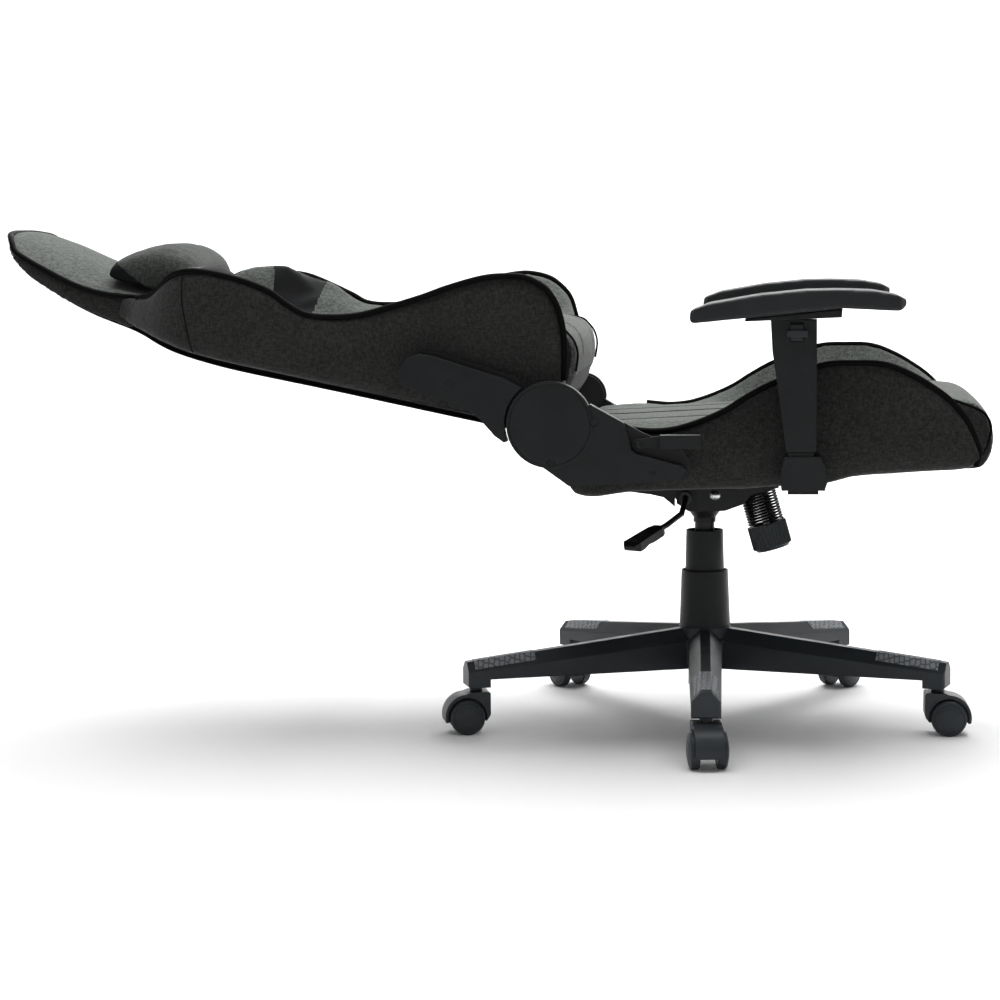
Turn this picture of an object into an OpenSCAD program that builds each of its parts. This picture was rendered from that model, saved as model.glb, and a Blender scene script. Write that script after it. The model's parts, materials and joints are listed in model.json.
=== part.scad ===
/* [Base] */
// Radius of the star base at the spoke ends
base_r = 350; // [300:5:420]
// Turn of the star base about the column, in degrees
base_turn = 2; // [0:1:36]
// Height of the spoke ridge at its outer end
spoke_end_z = 100.3; // [95:0.1:112]
// Height of the hub top above the floor
hub_z = 138; // [130:1:150]
// Radius of the hub
hub_r = 36.5; // [34:0.5:45]
// Half width of a spoke
spoke_half_w = 20; // [18:0.5:26]

/* [Casters] */
// Diameter of a caster wheel
wheel_d = 49; // [44:1:52]
// Width over both wheels of one caster
caster_w = 55; // [50:1:64]
// Distance the wheel axle trails behind the stem
caster_trail = 14.5; // [12:0.5:20]
// Diameter of the caster stem
stem_d = 11; // [10:0.5:13]

/* [Gas lift] */
// Height adjustment travel
lift_travel = 80; // [40:5:100]
// Outer diameter of the stand tube
stand_d = 50; // [45:1:52]
// Outer diameter of the pressure tube
pressure_d = 28; // [26:0.5:30]
// Diameter of the piston rod
rod_d = 10; // [8:0.5:12]
// Height of the top of the pressure tube at the lowest setting
tube_top_z = 331; // [320:1:340]
// Radial clearance of a running fit
fit = 0.05; // [0.02:0.01:0.09]

/* [Seat] */
// Width of the seat over the side bolsters
seat_w = 536; // [450:1:650]
// Length of the seat from its rear edge to the front roll
seat_len = 563; // [470:1:680]
// Height of the sitting surface at its rear edge
seat_h = 433; // [425:1:450]
// Height of the seat bolster crest
bolster_h = 523; // [490:1:545]
// Largest rearward tilt of the seat, in degrees
tilt_max = 12; // [6:1:12]

/* [Backrest] */
// Length of the backrest from the hinge to the top
back_len = 822; // [680:1:1000]
// Angle of the reclined backrest above the horizontal, in degrees
back_angle = 12.4; // [8:0.1:25]
// Half width of the head section
head_half_w = 150; // [130:1:170]
// Height of the lumbar bolster crest in front of the hinge plane
wing_h = 179; // [150:1:185]

/* [Armrests] */
// Height adjustment travel of the armrests
arm_travel = 70; // [30:5:90]
// Height of the armrest pad at its crown
arm_h = 619.5; // [590:0.5:660]
// Length of the armrest pad
pad_len = 279; // [240:1:300]
// Width of the armrest pad
pad_w = 84; // [70:1:100]

/* [Hidden] */
$fn = 48;

// general clearances
tight = 0.02;
gap = 0.3;
big = 2000;

// base
spokes = 5;
first_spoke = -90 + base_turn;
spoke_step = 360 / spokes;
stem_r = base_r - 14;
end_block = 31;
end_bottom_z = 65.3;
under_end_z = 76.5;
under_hub_z = 78;
ridge_half_w = 7;
roof_slope = 1.077;
wall = 3.5;
chamfer = 2.2;
ridge_angle = atan((hub_z - spoke_end_z) / base_r);
hub_bottom_z = 78;

// foot grips
grip_len = 88;
grip_end = base_r - 10;
grip_half_w = 16.5;
grip_sink = 0.9;
grip_proud = 0.7;

// casters
wheel_r = wheel_d / 2;
wheel_in = caster_w / 2 - 15.7;
web_half = wheel_in - 1;
hood_half = 19.2;
hood_r = wheel_r + 6.5;
pocket_r = wheel_r + 2.6;
hood_top_z = 2 * wheel_r + 10;
hood_rear = caster_trail - wheel_r - 8.2;
caster_turn = [7, 17, 0, 0, -5];
stem_top_z = 92;
stem_bottom_z = 37;
axle_r = 3.5;
axle_half = caster_w / 2 - 3.9;

// gas lift
stand_r = stand_d / 2;
tube_r = pressure_d / 2;
rod_r = rod_d / 2;
stand_bottom_z = 52;
stand_top_z = 262;
stand_wall = 2;
plate_top_z = stand_bottom_z + 4;
bearing_top_z = plate_top_z + 5.5;
collar_top_z = bearing_top_z + 3;
tube_bottom_z = collar_top_z + 1.5;
bush_bottom_z = stand_top_z - 66;
taper_h = 38;
taper_r = tube_r - 1.1;
bore_floor_z = tube_top_z - 19;
piston_top_z = bore_floor_z - 34;
tube_in_r = tube_r - 1.6;
pin_r = 4;
pin_top_z = tube_top_z + 6.3;
cover_wall = 1.1;
upper_top_z = stand_top_z + 11;
upper_top_r = stand_r + 1.2;
upper_draft = 0.0244;
lower_top_z = 216;
lower_wall = 1.6;

// tilt mechanism
pivot_x = 16;
pivot_z = 326;
pivot_r = 5;
tub_half = 40;
tub_wall = 3;
tub_rear_x = -38;
tub_front_x = 60;
tub_bottom_z = 303;
tub_top_z = 338;
web_z = 354;
web_t = 4;
flange_out = tub_half + 6;
plate_rear_x = -105;
plate_front_x = 150;
strap_half = 120;
strap_w = 42;
rear_bolt_x = -70;
front_bolt_x = 130;
bolt_y = 100;
bolt_r = 4;
head_r = 7;
frame_z = web_z + web_t;
tube_w = 20;

// height lever
lever_x = -25;
lever_z = 322;
lever_r = 4;
bush_r = 7;

// tension adjuster: its axis leans forward towards the knob
adj_lean = 15.6;
adj_x = 92;
adj_z = 264;
knob_r = 28;
knob_half = 18.5;
spring_r = 26;
spring_wire_r = 1.55;
spring_turns = 11;
spring_top = 66;
adj_bolt_r = 5;
knob_ribs = 36;

// seat
side_y = seat_w / 2;
seat_rear_x = -175;
seat_front_x = seat_rear_x + seat_len;
cushion_half = side_y - 63;
bolster_in = cushion_half + 0.5;
rail_out = cushion_half + 20;
rail_front_x = seat_front_x - 53;
rail_rear_x = -150;
webbing_z = frame_z + tube_w;
cushion_z = webbing_z + 3;
front_step = 13;
step_x = 145;
boss_r = 7;
boss_z = frame_z + 22;
seat_boss_x = [-110, -35];
belts = 5;

// stack of parts at each side of the hinge, outwards from the bolster
back_plate_in = side_y + 9;
plate_t = 4;
seat_plate_in = back_plate_in + plate_t + 0.4;
cover_in = seat_plate_in + plate_t + 0.4;
cover_t = 14;
hinge_x = -193.2;
hinge_z = 444.4;
hinge_r = 12;
cap_step = 2;
cover_shell = 2.5;
lever_pivot = [-78, 417];

// back
bu = back_len / 822;
back_half = side_y + 4;
back_in = cushion_half - 5;
panel_t = 5;
tube_r_back = 11;
back_rail_y = back_in + 9;
back_boss_u = [62, 110];
back_boss_n = 4;
neck_u = 610 * bu;
shoulder_u = 560 * bu;

// armrests
arm_x = 134;
arm_y = side_y + 20;
bar_half = 12.5;
bar_t = 6;
sleeve_half = 17;
sleeve_top_z = 402;
neck_top_z = 408.5;
post_bottom_z = 409;
platform_z = arm_h - 41;
bar_top_z = platform_z - 38;
pad_rear_x = -10;

// ---------- helpers ----------

// a plate drawn in X and Z, standing between y0 and y1
module side_plate(points, y0, y1) {
  translate([0, y1, 0]) rotate([90, 0, 0]) linear_extrude(y1 - y0) polygon(points);
}

// a bar drawn in Y and Z, running along X
module long_bar(points, x0, x1) {
  translate([x0, 0, 0]) rotate([90, 0, 90]) linear_extrude(x1 - x0) polygon(points);
}

// a pin along Y between y0 and y1
module cross_pin(x, z, r, y0, y1) {
  translate([x, y1, z]) rotate([90, 0, 0]) cylinder(r = r, h = y1 - y0);
}

// the same part on both sides of the chair
module both_sides() {
  children();
  mirror([0, 1, 0]) children();
}

// right (negative Y) side only, from a part drawn on the positive side
module right_side() {
  mirror([0, 1, 0]) children();
}

// the same part on every spoke
module each_spoke() {
  for (i = [0 : spokes - 1]) rotate([0, 0, first_spoke + i * spoke_step]) children();
}

// backrest space: Z runs up the back, X points to its front, the hinge is the origin
module in_back() {
  translate([hinge_x, 0, hinge_z]) rotate([0, -(90 - back_angle), 0]) children();
}

// adjuster space: Z runs up the bolt, the centre of the knob is the origin
module in_adjuster() {
  translate([adj_x, 0, adj_z]) rotate([0, -adj_lean, 0]) children();
}

module box(x0, x1, y0, y1, z0, z1) {
  translate([x0, y0, z0]) cube([x1 - x0, y1 - y0, z1 - z0]);
}

function mirror_y(points) = [for (p = points) [-p[0], p[1]]];
function reverse(list) = [for (i = [len(list) - 1 : -1 : 0]) list[i]];

// ---------- star base ----------

// ridge section of a spoke; raise moves its skin along the slanted faces
module roof(raise, half) {
  reach = half + 4;
  section = [
    [-reach, -90], [reach, -90], [reach, raise - roof_slope * (reach - ridge_half_w)],
    [ridge_half_w, raise], [-ridge_half_w, raise], [-reach, raise - roof_slope * (reach - ridge_half_w)]
  ];
  translate([0, 0, hub_z]) rotate([0, ridge_angle, 0]) long_bar(section, 0, base_r + 20);
}

module spoke_outline() {
  end_half = spoke_half_w - 0.3;
  hub_half = spoke_half_w + 4;
  translate([0, 0, 40]) linear_extrude(120) polygon([
    [0, -hub_half], [base_r - chamfer, -end_half], [base_r, chamfer - end_half],
    [base_r, end_half - chamfer], [base_r - chamfer, end_half], [0, hub_half]
  ]);
}

module spoke() {
  side = [
    [0, under_hub_z], [base_r - end_block, under_end_z], [base_r - end_block, end_bottom_z],
    [base_r - chamfer, end_bottom_z], [base_r, end_bottom_z + chamfer],
    [base_r, spoke_end_z - chamfer], [base_r - chamfer, spoke_end_z + 5], [0, hub_z + 20]
  ];
  difference() {
    intersection() {
      side_plate(side, -spoke_half_w - 10, spoke_half_w + 10);
      spoke_outline();
      roof(0, spoke_half_w);
    }
    // hollow underside, split by cross ribs
    intersection() {
      union() {
        for (i = [0 : 3]) {
          cell = (base_r - end_block - hub_r - 6) / 4;
          start = hub_r + 4 + i * cell;
          box(start, start + cell - 3, wall - spoke_half_w, spoke_half_w - wall, 50, hub_z);
        }
      }
      roof(-wall - 1, spoke_half_w);
    }
  }
}

module grip_zone(raise, inset) {
  difference() {
    intersection() {
      roof(raise, spoke_half_w);
      box(grip_end - grip_len + inset, grip_end - inset, inset - grip_half_w, grip_half_w - inset, 70, 130);
    }
    roof(-grip_sink, spoke_half_w);
  }
}

collar_r = (spoke_half_w + 4) / sin(36) + 0.4;

module star_base() {
  color("#26282a") difference() {
    union() {
      each_spoke() spoke();
      translate([0, 0, hub_bottom_z]) cylinder(r = hub_r, h = hub_z - 2 - hub_bottom_z);
      // collar that fills the corners between neighbouring spokes
      translate([0, 0, hub_bottom_z]) cylinder(r = collar_r, h = hub_z - 19 - hub_bottom_z);
    }
    translate([0, 0, hub_bottom_z - 1])
      cylinder(r1 = stand_r - 1.4 + tight, r2 = stand_r + tight, h = hub_z - hub_bottom_z + 2);
    each_spoke() grip_zone(10, 0);
    each_spoke() translate([stem_r, 0, end_bottom_z - 1]) cylinder(d = stem_d + 2 * tight, h = 31);
  }
}

module foot_grips() {
  color("#3a3c3e") each_spoke() grip_zone(grip_proud, gap);
}

module caster_stems() {
  color("silver") each_spoke() translate([stem_r, 0, 0]) {
    translate([0, 0, stem_bottom_z]) cylinder(d = stem_d, h = stem_top_z - stem_bottom_z);
    translate([0, 0, hood_top_z + gap]) cylinder(r = 9, h = end_bottom_z - tight - hood_top_z - gap);
  }
}

// ---------- casters ----------

module at_caster(i) {
  rotate([0, 0, first_spoke + (i - 1) * spoke_step]) translate([stem_r, 0, 0])
    rotate([0, 0, caster_turn[i - 1]]) children();
}

module hood_profile() {
  x = caster_trail;
  r = wheel_r;
  intersection() {
    union() {
      translate([x, r + 1]) circle(r = hood_r);
      polygon([[hood_rear, 10], [hood_rear, hood_top_z - 2], [hood_rear + 2, hood_top_z],
        [x - 5, hood_top_z], [x + 5, r + 1 + hood_r - 1.2], [x, 10]]);
    }
    polygon([
      [hood_rear - 1, 70], [hood_rear - 1, r + 7], [hood_rear + 1.5, r], [hood_rear + 7, r - 7],
      [x + 40, r - 7], [x + 40, 70]
    ]);
  }
}

module caster_hood(i) {
  color("#303234") at_caster(i) {
    difference() {
      translate([0, hood_half, 0]) rotate([90, 0, 0]) linear_extrude(2 * hood_half) hood_profile();
      both_sides() cross_pin(caster_trail, wheel_r, pocket_r, web_half, hood_half + 1);
      cross_pin(caster_trail, wheel_r, axle_r + tight, -hood_half - 1, hood_half + 1);
      translate([0, 0, stem_bottom_z - 1]) cylinder(d = stem_d + 2 * fit, h = 40);
    }
    cross_pin(caster_trail, wheel_r, axle_r, -axle_half, axle_half);
  }
}

// side is 1 for the wheel on the left of the hood and -1 for the one on its right
module caster_wheel(i, side) {
  out = caster_w / 2;
  color("#232527") at_caster(i) translate([caster_trail, 0, wheel_r]) rotate([side * -90, 0, 0])
    rotate_extrude() polygon([
      [axle_r + fit, wheel_in], [wheel_r - 1, wheel_in], [wheel_r, wheel_in + 1],
      [wheel_r, out - 5.5], [wheel_r - 1.4, out - 3.3], [wheel_r - 3.6, out - 2.7],
      [wheel_r - 4, out - 3.3], [wheel_r - 4.7, out - 3.3], [wheel_r - 5.1, out - 2.5],
      [12, out - 0.6], [0, out], [0, axle_half + 0.2], [axle_r + fit, axle_half + 0.2]
    ]);
}

// ---------- gas lift ----------

module gas_stand_tube() {
  color("#1c1d1f") difference() {
    union() {
      translate([0, 0, hub_z]) cylinder(r = stand_r, h = stand_top_z - hub_z);
      translate([0, 0, hub_bottom_z]) cylinder(r1 = stand_r - 1.4, r2 = stand_r, h = hub_z - hub_bottom_z);
      translate([0, 0, stand_bottom_z]) cylinder(r = stand_r - 1.4, h = hub_bottom_z - stand_bottom_z);
    }
    translate([0, 0, plate_top_z]) cylinder(r = stand_r - 1.4 - stand_wall, h = hub_z - plate_top_z);
    translate([0, 0, hub_z - 1]) cylinder(r = stand_r - stand_wall, h = stand_top_z - hub_z + 2);
    translate([0, 0, stand_bottom_z - 1]) cylinder(r = rod_r + 2 * fit, h = 10);
  }
}

module guide_bush() {
  color("#e8e6df") difference() {
    union() {
      translate([0, 0, bush_bottom_z])
        cylinder(r = stand_r - stand_wall - tight, h = stand_top_z - bush_bottom_z);
      translate([0, 0, stand_top_z]) cylinder(r = stand_r - 0.5, h = 2.5);
    }
    translate([0, 0, bush_bottom_z - 1]) cylinder(r = tube_r + fit, h = stand_top_z - bush_bottom_z + 10);
  }
}

module thrust_bearing() {
  race = 1.6;
  color("silver") difference() {
    union() {
      translate([0, 0, plate_top_z]) cylinder(r = 12, h = race);
      translate([0, 0, bearing_top_z - race - fit]) cylinder(r = 12, h = race);
      translate([0, 0, plate_top_z + race])
        cylinder(r = 10.5, h = bearing_top_z - plate_top_z - 2 * race - fit);
    }
    translate([0, 0, plate_top_z - 1]) cylinder(r = rod_r + gap, h = 20);
  }
}

module cover_lower() {
  bottom_z = hub_z - 2;
  color("#2b2d2f") difference() {
    translate([0, 0, bottom_z]) cylinder(r1 = hub_r - 0.5, r2 = hub_r - 3.5, h = lower_top_z - bottom_z);
    translate([0, 0, bottom_z - 0.01])
      cylinder(r1 = hub_r - 0.5 - lower_wall, r2 = hub_r - 3.5 - lower_wall, h = lower_top_z - bottom_z + 0.02);
  }
}

module cover_upper() {
  bottom_z = hub_z - 2;
  bottom_r = upper_top_r + upper_draft * (upper_top_z - bottom_z);
  color("#2b2d2f") difference() {
    translate([0, 0, bottom_z]) cylinder(r1 = bottom_r, r2 = upper_top_r, h = upper_top_z - bottom_z);
    translate([0, 0, bottom_z - 0.01])
      cylinder(r1 = bottom_r - cover_wall, r2 = upper_top_r - cover_wall, h = upper_top_z - bottom_z + 0.02);
  }
}

module piston_rod() {
  color("silver") {
    translate([0, 0, stand_bottom_z - 3]) cylinder(r = rod_r, h = piston_top_z - stand_bottom_z + 3);
    translate([0, 0, stand_bottom_z - 3]) cylinder(r = rod_r + 3, h = 3 - fit);
    translate([0, 0, bearing_top_z]) cylinder(r = rod_r + 3, h = collar_top_z - bearing_top_z);
    translate([0, 0, piston_top_z - 14]) cylinder(r = tube_in_r - fit, h = 14);
  }
}

module pressure_tube() {
  color("#3c3e40") difference() {
    union() {
      translate([0, 0, tube_bottom_z]) cylinder(r = tube_r, h = tube_top_z - taper_h - tube_bottom_z);
      translate([0, 0, tube_top_z - taper_h]) cylinder(r1 = tube_r, r2 = taper_r, h = taper_h);
    }
    translate([0, 0, tube_bottom_z + 6]) cylinder(r = tube_in_r, h = bore_floor_z - tube_bottom_z - 6);
    translate([0, 0, tube_bottom_z - 1]) cylinder(r = rod_r + fit, h = 10);
    translate([0, 0, bore_floor_z - 1]) cylinder(r = pin_r + fit, h = 40);
  }
}

module release_pin() {
  color("silver") translate([0, 0, bore_floor_z + 4]) cylinder(r = pin_r, h = pin_top_z - bore_floor_z - 4);
}

// ---------- tilt mechanism ----------

module mech_housing() {
  cone_r = 25;
  sleeve_r = tube_r + 2;
  sleeve_top_z = tube_top_z - 4;
  color("#1b1c1d") difference() {
    union() {
      // pressed tub
      both_sides() side_plate([
        [tub_rear_x, tub_bottom_z + 11], [tub_rear_x + 16, tub_bottom_z], [tub_front_x - 34, tub_bottom_z],
        [tub_front_x - 24, tub_bottom_z + 6], [tub_front_x - 6, tub_bottom_z + 10],
        [tub_front_x, tub_bottom_z + 18], [tub_front_x, tub_top_z], [tub_rear_x, tub_top_z]
      ], tub_half - tub_wall, tub_half);
      box(tub_rear_x + 16, tub_front_x - 34, -tub_half, tub_half, tub_bottom_z, tub_bottom_z + tub_wall);
      // cone and collar around the taper
      translate([0, 0, 291]) cylinder(r1 = 16, r2 = cone_r, h = tub_bottom_z - 291);
      translate([0, 0, 284]) cylinder(r = 16, h = 7);
      translate([0, 0, tub_bottom_z]) cylinder(r = sleeve_r, h = sleeve_top_z - tub_bottom_z);
      // front arm that carries the spring
      in_adjuster() box(-34, 32, -tub_half, tub_half, spring_top, spring_top + 4);
    }
    translate([0, 0, 280]) cylinder(r = tube_r + tight, h = tube_top_z - taper_h - 280);
    translate([0, 0, tube_top_z - taper_h])
      cylinder(r1 = tube_r + tight, r2 = taper_r + tight, h = taper_h);
    in_adjuster() translate([0, 0, spring_top - 10]) cylinder(r = 10, h = 30);
    both_sides() cross_pin(pivot_x, pivot_z, pivot_r + tight, tub_half - tub_wall - 5, tub_half + 5);
    cross_pin(lever_x, lever_z, bush_r + fit, -tub_half - 5, 0);
  }
}

module tilt_pins() {
  color("#d8dadc") both_sides() {
    cross_pin(pivot_x, pivot_z, pivot_r, tub_half - tub_wall - 2, flange_out + 2);
    intersection() {
      translate([pivot_x, flange_out - 5.5, pivot_z]) rotate([0, 0, 0]) sphere(r = 9.5);
      cross_pin(pivot_x, pivot_z, 8, flange_out + 0.1, flange_out + 6);
    }
  }
}

module seat_plate() {
  flange = [
    [plate_rear_x, web_z + 1], [plate_rear_x, 331], [-74, 327], [-56, 323], [-44, 313],
    [-40, 309], [-40, 343], [-10, 343], [-10, 303], [30, 304], [55, 313], [60, 318],
    [65, 325], [86, 336], [101, 339], [112, 346], [112, web_z + 1]
  ];
  color("#1b1c1d") difference() {
    union() {
      box(plate_rear_x, plate_front_x, -flange_out, flange_out, web_z, web_z + web_t);
      box(rear_bolt_x - strap_w / 2, rear_bolt_x + strap_w / 2, -strap_half, strap_half, web_z, web_z + web_t);
      box(plate_front_x - strap_w, plate_front_x, -strap_half, strap_half, web_z, web_z + web_t);
      both_sides() side_plate(flange, flange_out - tub_wall, flange_out);
    }
    both_sides() cross_pin(pivot_x, pivot_z, pivot_r + fit, flange_out - 5, flange_out + 5);
    in_adjuster() translate([0, 0, spring_top]) cylinder(r = adj_bolt_r + 2, h = 60);
    for (x = [rear_bolt_x, front_bolt_x]) both_sides()
      translate([x, bolt_y, web_z - 1]) cylinder(r = bolt_r + gap, h = 10);
    for (x = [-86, 40]) translate([x, 0, web_z - 1]) cylinder(r = 11, h = 10);
  }
}

module lever_bush() {
  color("#111213") difference() {
    union() {
      cross_pin(lever_x, lever_z, bush_r, -tub_half - 6, -tub_half + 14);
      cross_pin(lever_x, lever_z, bush_r + 2, -tub_half - 9, -tub_half - 1);
    }
    cross_pin(lever_x, lever_z, lever_r + fit, -tub_half - 20, 0);
  }
}

// one straight length of the lever wire
module rod_link(a, b) {
  d = b - a;
  length = norm(d);
  translate(a) rotate([0, acos(d[2] / length), atan2(d[1], d[0])]) cylinder(r = lever_r, h = length);
}

lever_root = [lever_x, -tub_half - 10.5, lever_z];
lever_knee = [lever_x - 4, -91, lever_z - 17];
lever_heel = [lever_x - 23, -112, lever_z - 30];
lever_tip = [lever_x - 71, -188, lever_z - 53];
lever_grip = lever_heel + 0.2 * (lever_tip - lever_heel);

module height_lever() {
  color("#17181a") {
    cross_pin(lever_x, lever_z, lever_r, lever_root[1], 20);
    rod_link(lever_root, lever_knee);
    rod_link(lever_knee, lever_heel);
    rod_link(lever_heel, lever_grip + 0.2 * (lever_tip - lever_heel));
    for (p = [lever_root, lever_knee, lever_heel]) translate(p) sphere(r = lever_r + 0.3);
    // finger over the release pin
    box(lever_x - 3, lever_x + 3, -6, 18, lever_z, pin_top_z + 4);
    box(lever_x, 5, -6, 18, pin_top_z + 1, pin_top_z + 4);
  }
}

module in_paddle() {
  d = lever_tip - lever_heel;
  length = norm(d);
  translate(lever_grip) rotate([0, 0, atan2(d[1], d[0])]) rotate([0, acos(d[2] / length) - 90, 0]) children();
}

module lever_paddle() {
  full = norm(lever_tip - lever_grip);
  color("#2c2e30") difference() {
    in_paddle() intersection() {
      translate([0, 14, 0]) rotate([90, 0, 0]) linear_extrude(28) polygon([
        [0, -6], [0, 6], [full - 8, 5.5], [full, 2], [full, -3], [full - 6, -7],
        [full - 18, -7], [full - 28, -4.5], [full - 40, -6]
      ]);
      translate([0, 0, -20]) linear_extrude(40) polygon([
        [0, -8], [10, -12], [full - 8, -14], [full, -9], [full, 9], [full - 8, 14], [10, 12], [0, 8]
      ]);
    }
    rod_link(lever_heel, lever_grip + 0.22 * (lever_tip - lever_heel));
    translate(lever_grip) in_line_bore();
  }
}

// the wire's socket in the paddle, a hair wider than the wire
module in_line_bore() {
  d = lever_tip - lever_heel;
  rotate([0, acos(d[2] / norm(d)), atan2(d[1], d[0])])
    translate([0, 0, -1]) cylinder(r = lever_r + tight, h = 0.2 * norm(d) + 3);
}

// ---------- tilt tension adjuster ----------

module tension_bolt() {
  head_z = (frame_z - adj_z) / cos(adj_lean) + 4;
  color("silver") in_adjuster() {
    translate([0, 0, -knob_half + 6]) cylinder(r = adj_bolt_r, h = head_z + knob_half - 6);
    translate([0, 0, head_z]) cylinder(r = 9, h = 6);
  }
}

module tension_spring() {
  steps = 18;
  total = spring_turns * steps;
  length = spring_top - knob_half - 2 * spring_wire_r - 2 * gap;
  mean_r = spring_r - spring_wire_r;
  ring = 6;
  points = [
    for (i = [0 : total], j = [0 : ring - 1])
      let (
        turn = i * 360 / steps,
        around = j * 360 / ring,
        r = mean_r + spring_wire_r * cos(around)
      )
      [r * cos(turn), r * sin(turn), i * length / total + spring_wire_r * sin(around)]
  ];
  walls = [
    for (i = [0 : total - 1], j = [0 : ring - 1])
      let (k = (j + 1) % ring)
      [i * ring + j, i * ring + k, (i + 1) * ring + k, (i + 1) * ring + j]
  ];
  start = [for (j = [ring - 1 : -1 : 0]) j];
  finish = [for (j = [0 : ring - 1]) total * ring + j];
  color("#101112") in_adjuster() translate([0, 0, knob_half + spring_wire_r + gap])
    polyhedron(points, concat([start], walls, [finish]), convexity = 12);
}

module tension_knob() {
  color("#1f2123") in_adjuster() difference() {
    union() {
      translate([0, 0, 4 - knob_half]) linear_extrude(2 * knob_half - 4) polygon([
        for (i = [0 : 2 * knob_ribs - 1])
          let (r = knob_r - (i % 2) * 1.3, a = i * 180 / knob_ribs)
          [r * cos(a), r * sin(a)]
      ]);
      translate([0, 0, -knob_half]) cylinder(r1 = knob_r - 5, r2 = knob_r - 2, h = 4);
    }
    translate([0, 0, 6 - knob_half - gap]) cylinder(r = adj_bolt_r + fit, h = 60);
    translate([0, 0, knob_half - 8]) cylinder(r = knob_r - 8, h = 10);
  }
}

// ---------- seat ----------

module seat_bolts() {
  color("#2a2b2c") {
    for (x = [rear_bolt_x, front_bolt_x]) both_sides() {
      translate([x, bolt_y, web_z - 5]) cylinder(r = head_r, h = 5);
      translate([x, bolt_y, web_z - 5]) cylinder(r = bolt_r, h = 20);
    }
    for (y = [152, 184]) both_sides() {
      translate([front_bolt_x, y, frame_z - bar_t - 5]) cylinder(r = head_r, h = 5);
      translate([front_bolt_x, y, frame_z - bar_t - 5]) cylinder(r = bolt_r, h = 20);
    }
  }
}

module seat_frame() {
  rail_in = rail_out - tube_w;
  rail = [
    [rail_rear_x, frame_z], [step_x, frame_z], [step_x + 20, webbing_z + 3], [rail_front_x, webbing_z + 3],
    [rail_front_x, webbing_z + front_step], [step_x + 15, webbing_z + front_step], [step_x, webbing_z],
    [rail_rear_x, webbing_z]
  ];
  color("#222324") difference() {
    union() {
      both_sides() {
        side_plate(rail, rail_in, rail_out);
        for (x = seat_boss_x) cross_pin(x, boss_z, boss_r, rail_in + 8, seat_plate_in);
      }
      box(rail_rear_x, rail_rear_x + tube_w, -rail_out, rail_out, frame_z, webbing_z);
      box(rail_front_x - tube_w, rail_front_x, -rail_out, rail_out, webbing_z + 3, webbing_z + front_step);
      for (x = [rear_bolt_x, front_bolt_x])
        box(x - 15, x + 15, -rail_out, rail_out, frame_z, webbing_z);
    }
    for (x = [rear_bolt_x, front_bolt_x]) both_sides()
      translate([x, bolt_y, frame_z - 1]) cylinder(r = bolt_r + tight, h = 14);
    for (y = [152, 184]) both_sides()
      translate([front_bolt_x, y, frame_z - 1]) cylinder(r = bolt_r + tight, h = 14);
  }
}

module seat_webbing() {
  half = rail_out - tube_w + 7;
  rear = [rail_rear_x + 50, rail_rear_x + 130, rail_rear_x + 210];
  front = [step_x + 50, rail_front_x - 50];
  color("#0e0e0f") {
    for (x = rear) box(x - 25, x + 25, -half, half, webbing_z, webbing_z + 2.5);
    for (x = front)
      box(x - 25, x + 25, -half, half, webbing_z + front_step, webbing_z + front_step + 2.5);
  }
}

module seat_cushion() {
  f = seat_front_x;
  h = seat_h;
  front_z = webbing_z + front_step + 3;
  side = [
    [seat_rear_x + 10, cushion_z], [seat_rear_x + 8, h - 8], [seat_rear_x + 16, h],
    [60, h + 10], [f - 120, h + 30], [f - 75, h + 39], [f - 54, h + 41], [f - 28, h + 39],
    [f - 9, h + 31], [f, h + 14], [f + 1, h - 8], [f - 2, h - 28], [f - 8, h - 45],
    [f - 18, h - 55], [rail_front_x + 1, h - 56], [rail_front_x + 1, front_z],
    [step_x + 14, front_z], [step_x - 2, cushion_z]
  ];
  color("#4a4a47") side_plate(side, -cushion_half, cushion_half);
}

module seat_bolsters() {
  f = seat_front_x;
  h = bolster_h;
  side = [
    [seat_rear_x, 357], [seat_rear_x, seat_h - 6], [seat_rear_x + 10, seat_h + 2],
    [-95, seat_h + 2], [-60, seat_h], [-28, seat_h + 4], [4, seat_h + 14], [36, h - 62],
    [64, h - 45], [99, h - 26], [f - 228, h - 4], [f - 183, h], [f - 146, h - 3], [f - 114, h - 15],
    [f - 86, h - 32], [f - 60, h - 51], [f - 40, h - 75], [f - 27, h - 103], [f - 22, h - 121],
    [f - 27, h - 140], [f - 56, h - 144], [arm_x + 42, h - 153], [arm_x + 28, frame_z + 1.5],
    [arm_x - 28, frame_z + 1.5], [80, 355], [-91, 350], [-158, 343], [seat_rear_x + 6, 347]
  ];
  section = [
    [bolster_in, 338], [side_y - 10, 338], [side_y - 3, 360], [side_y, 400], [side_y - 2, h - 20],
    [side_y - 9, h + 4], [side_y - 20, h + 4], [bolster_in, seat_h + 6]
  ];
  frame_space = [
    [seat_rear_x - 5, 300], [f, 300], [f, webbing_z + front_step + 3],
    [step_x + 14, webbing_z + front_step + 3], [step_x - 2, cushion_z], [seat_rear_x - 5, cushion_z]
  ];
  color("#3b3b39") both_sides() difference() {
    intersection() {
      side_plate(side, bolster_in, side_y + 1);
      long_bar(section, seat_rear_x - 5, f + 5);
    }
    side_plate(frame_space, 0, rail_out + 1);
    for (x = seat_boss_x) cross_pin(x, boss_z, boss_r + gap, 0, side_y + 20);
  }
}

// ---------- recliner ----------

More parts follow.
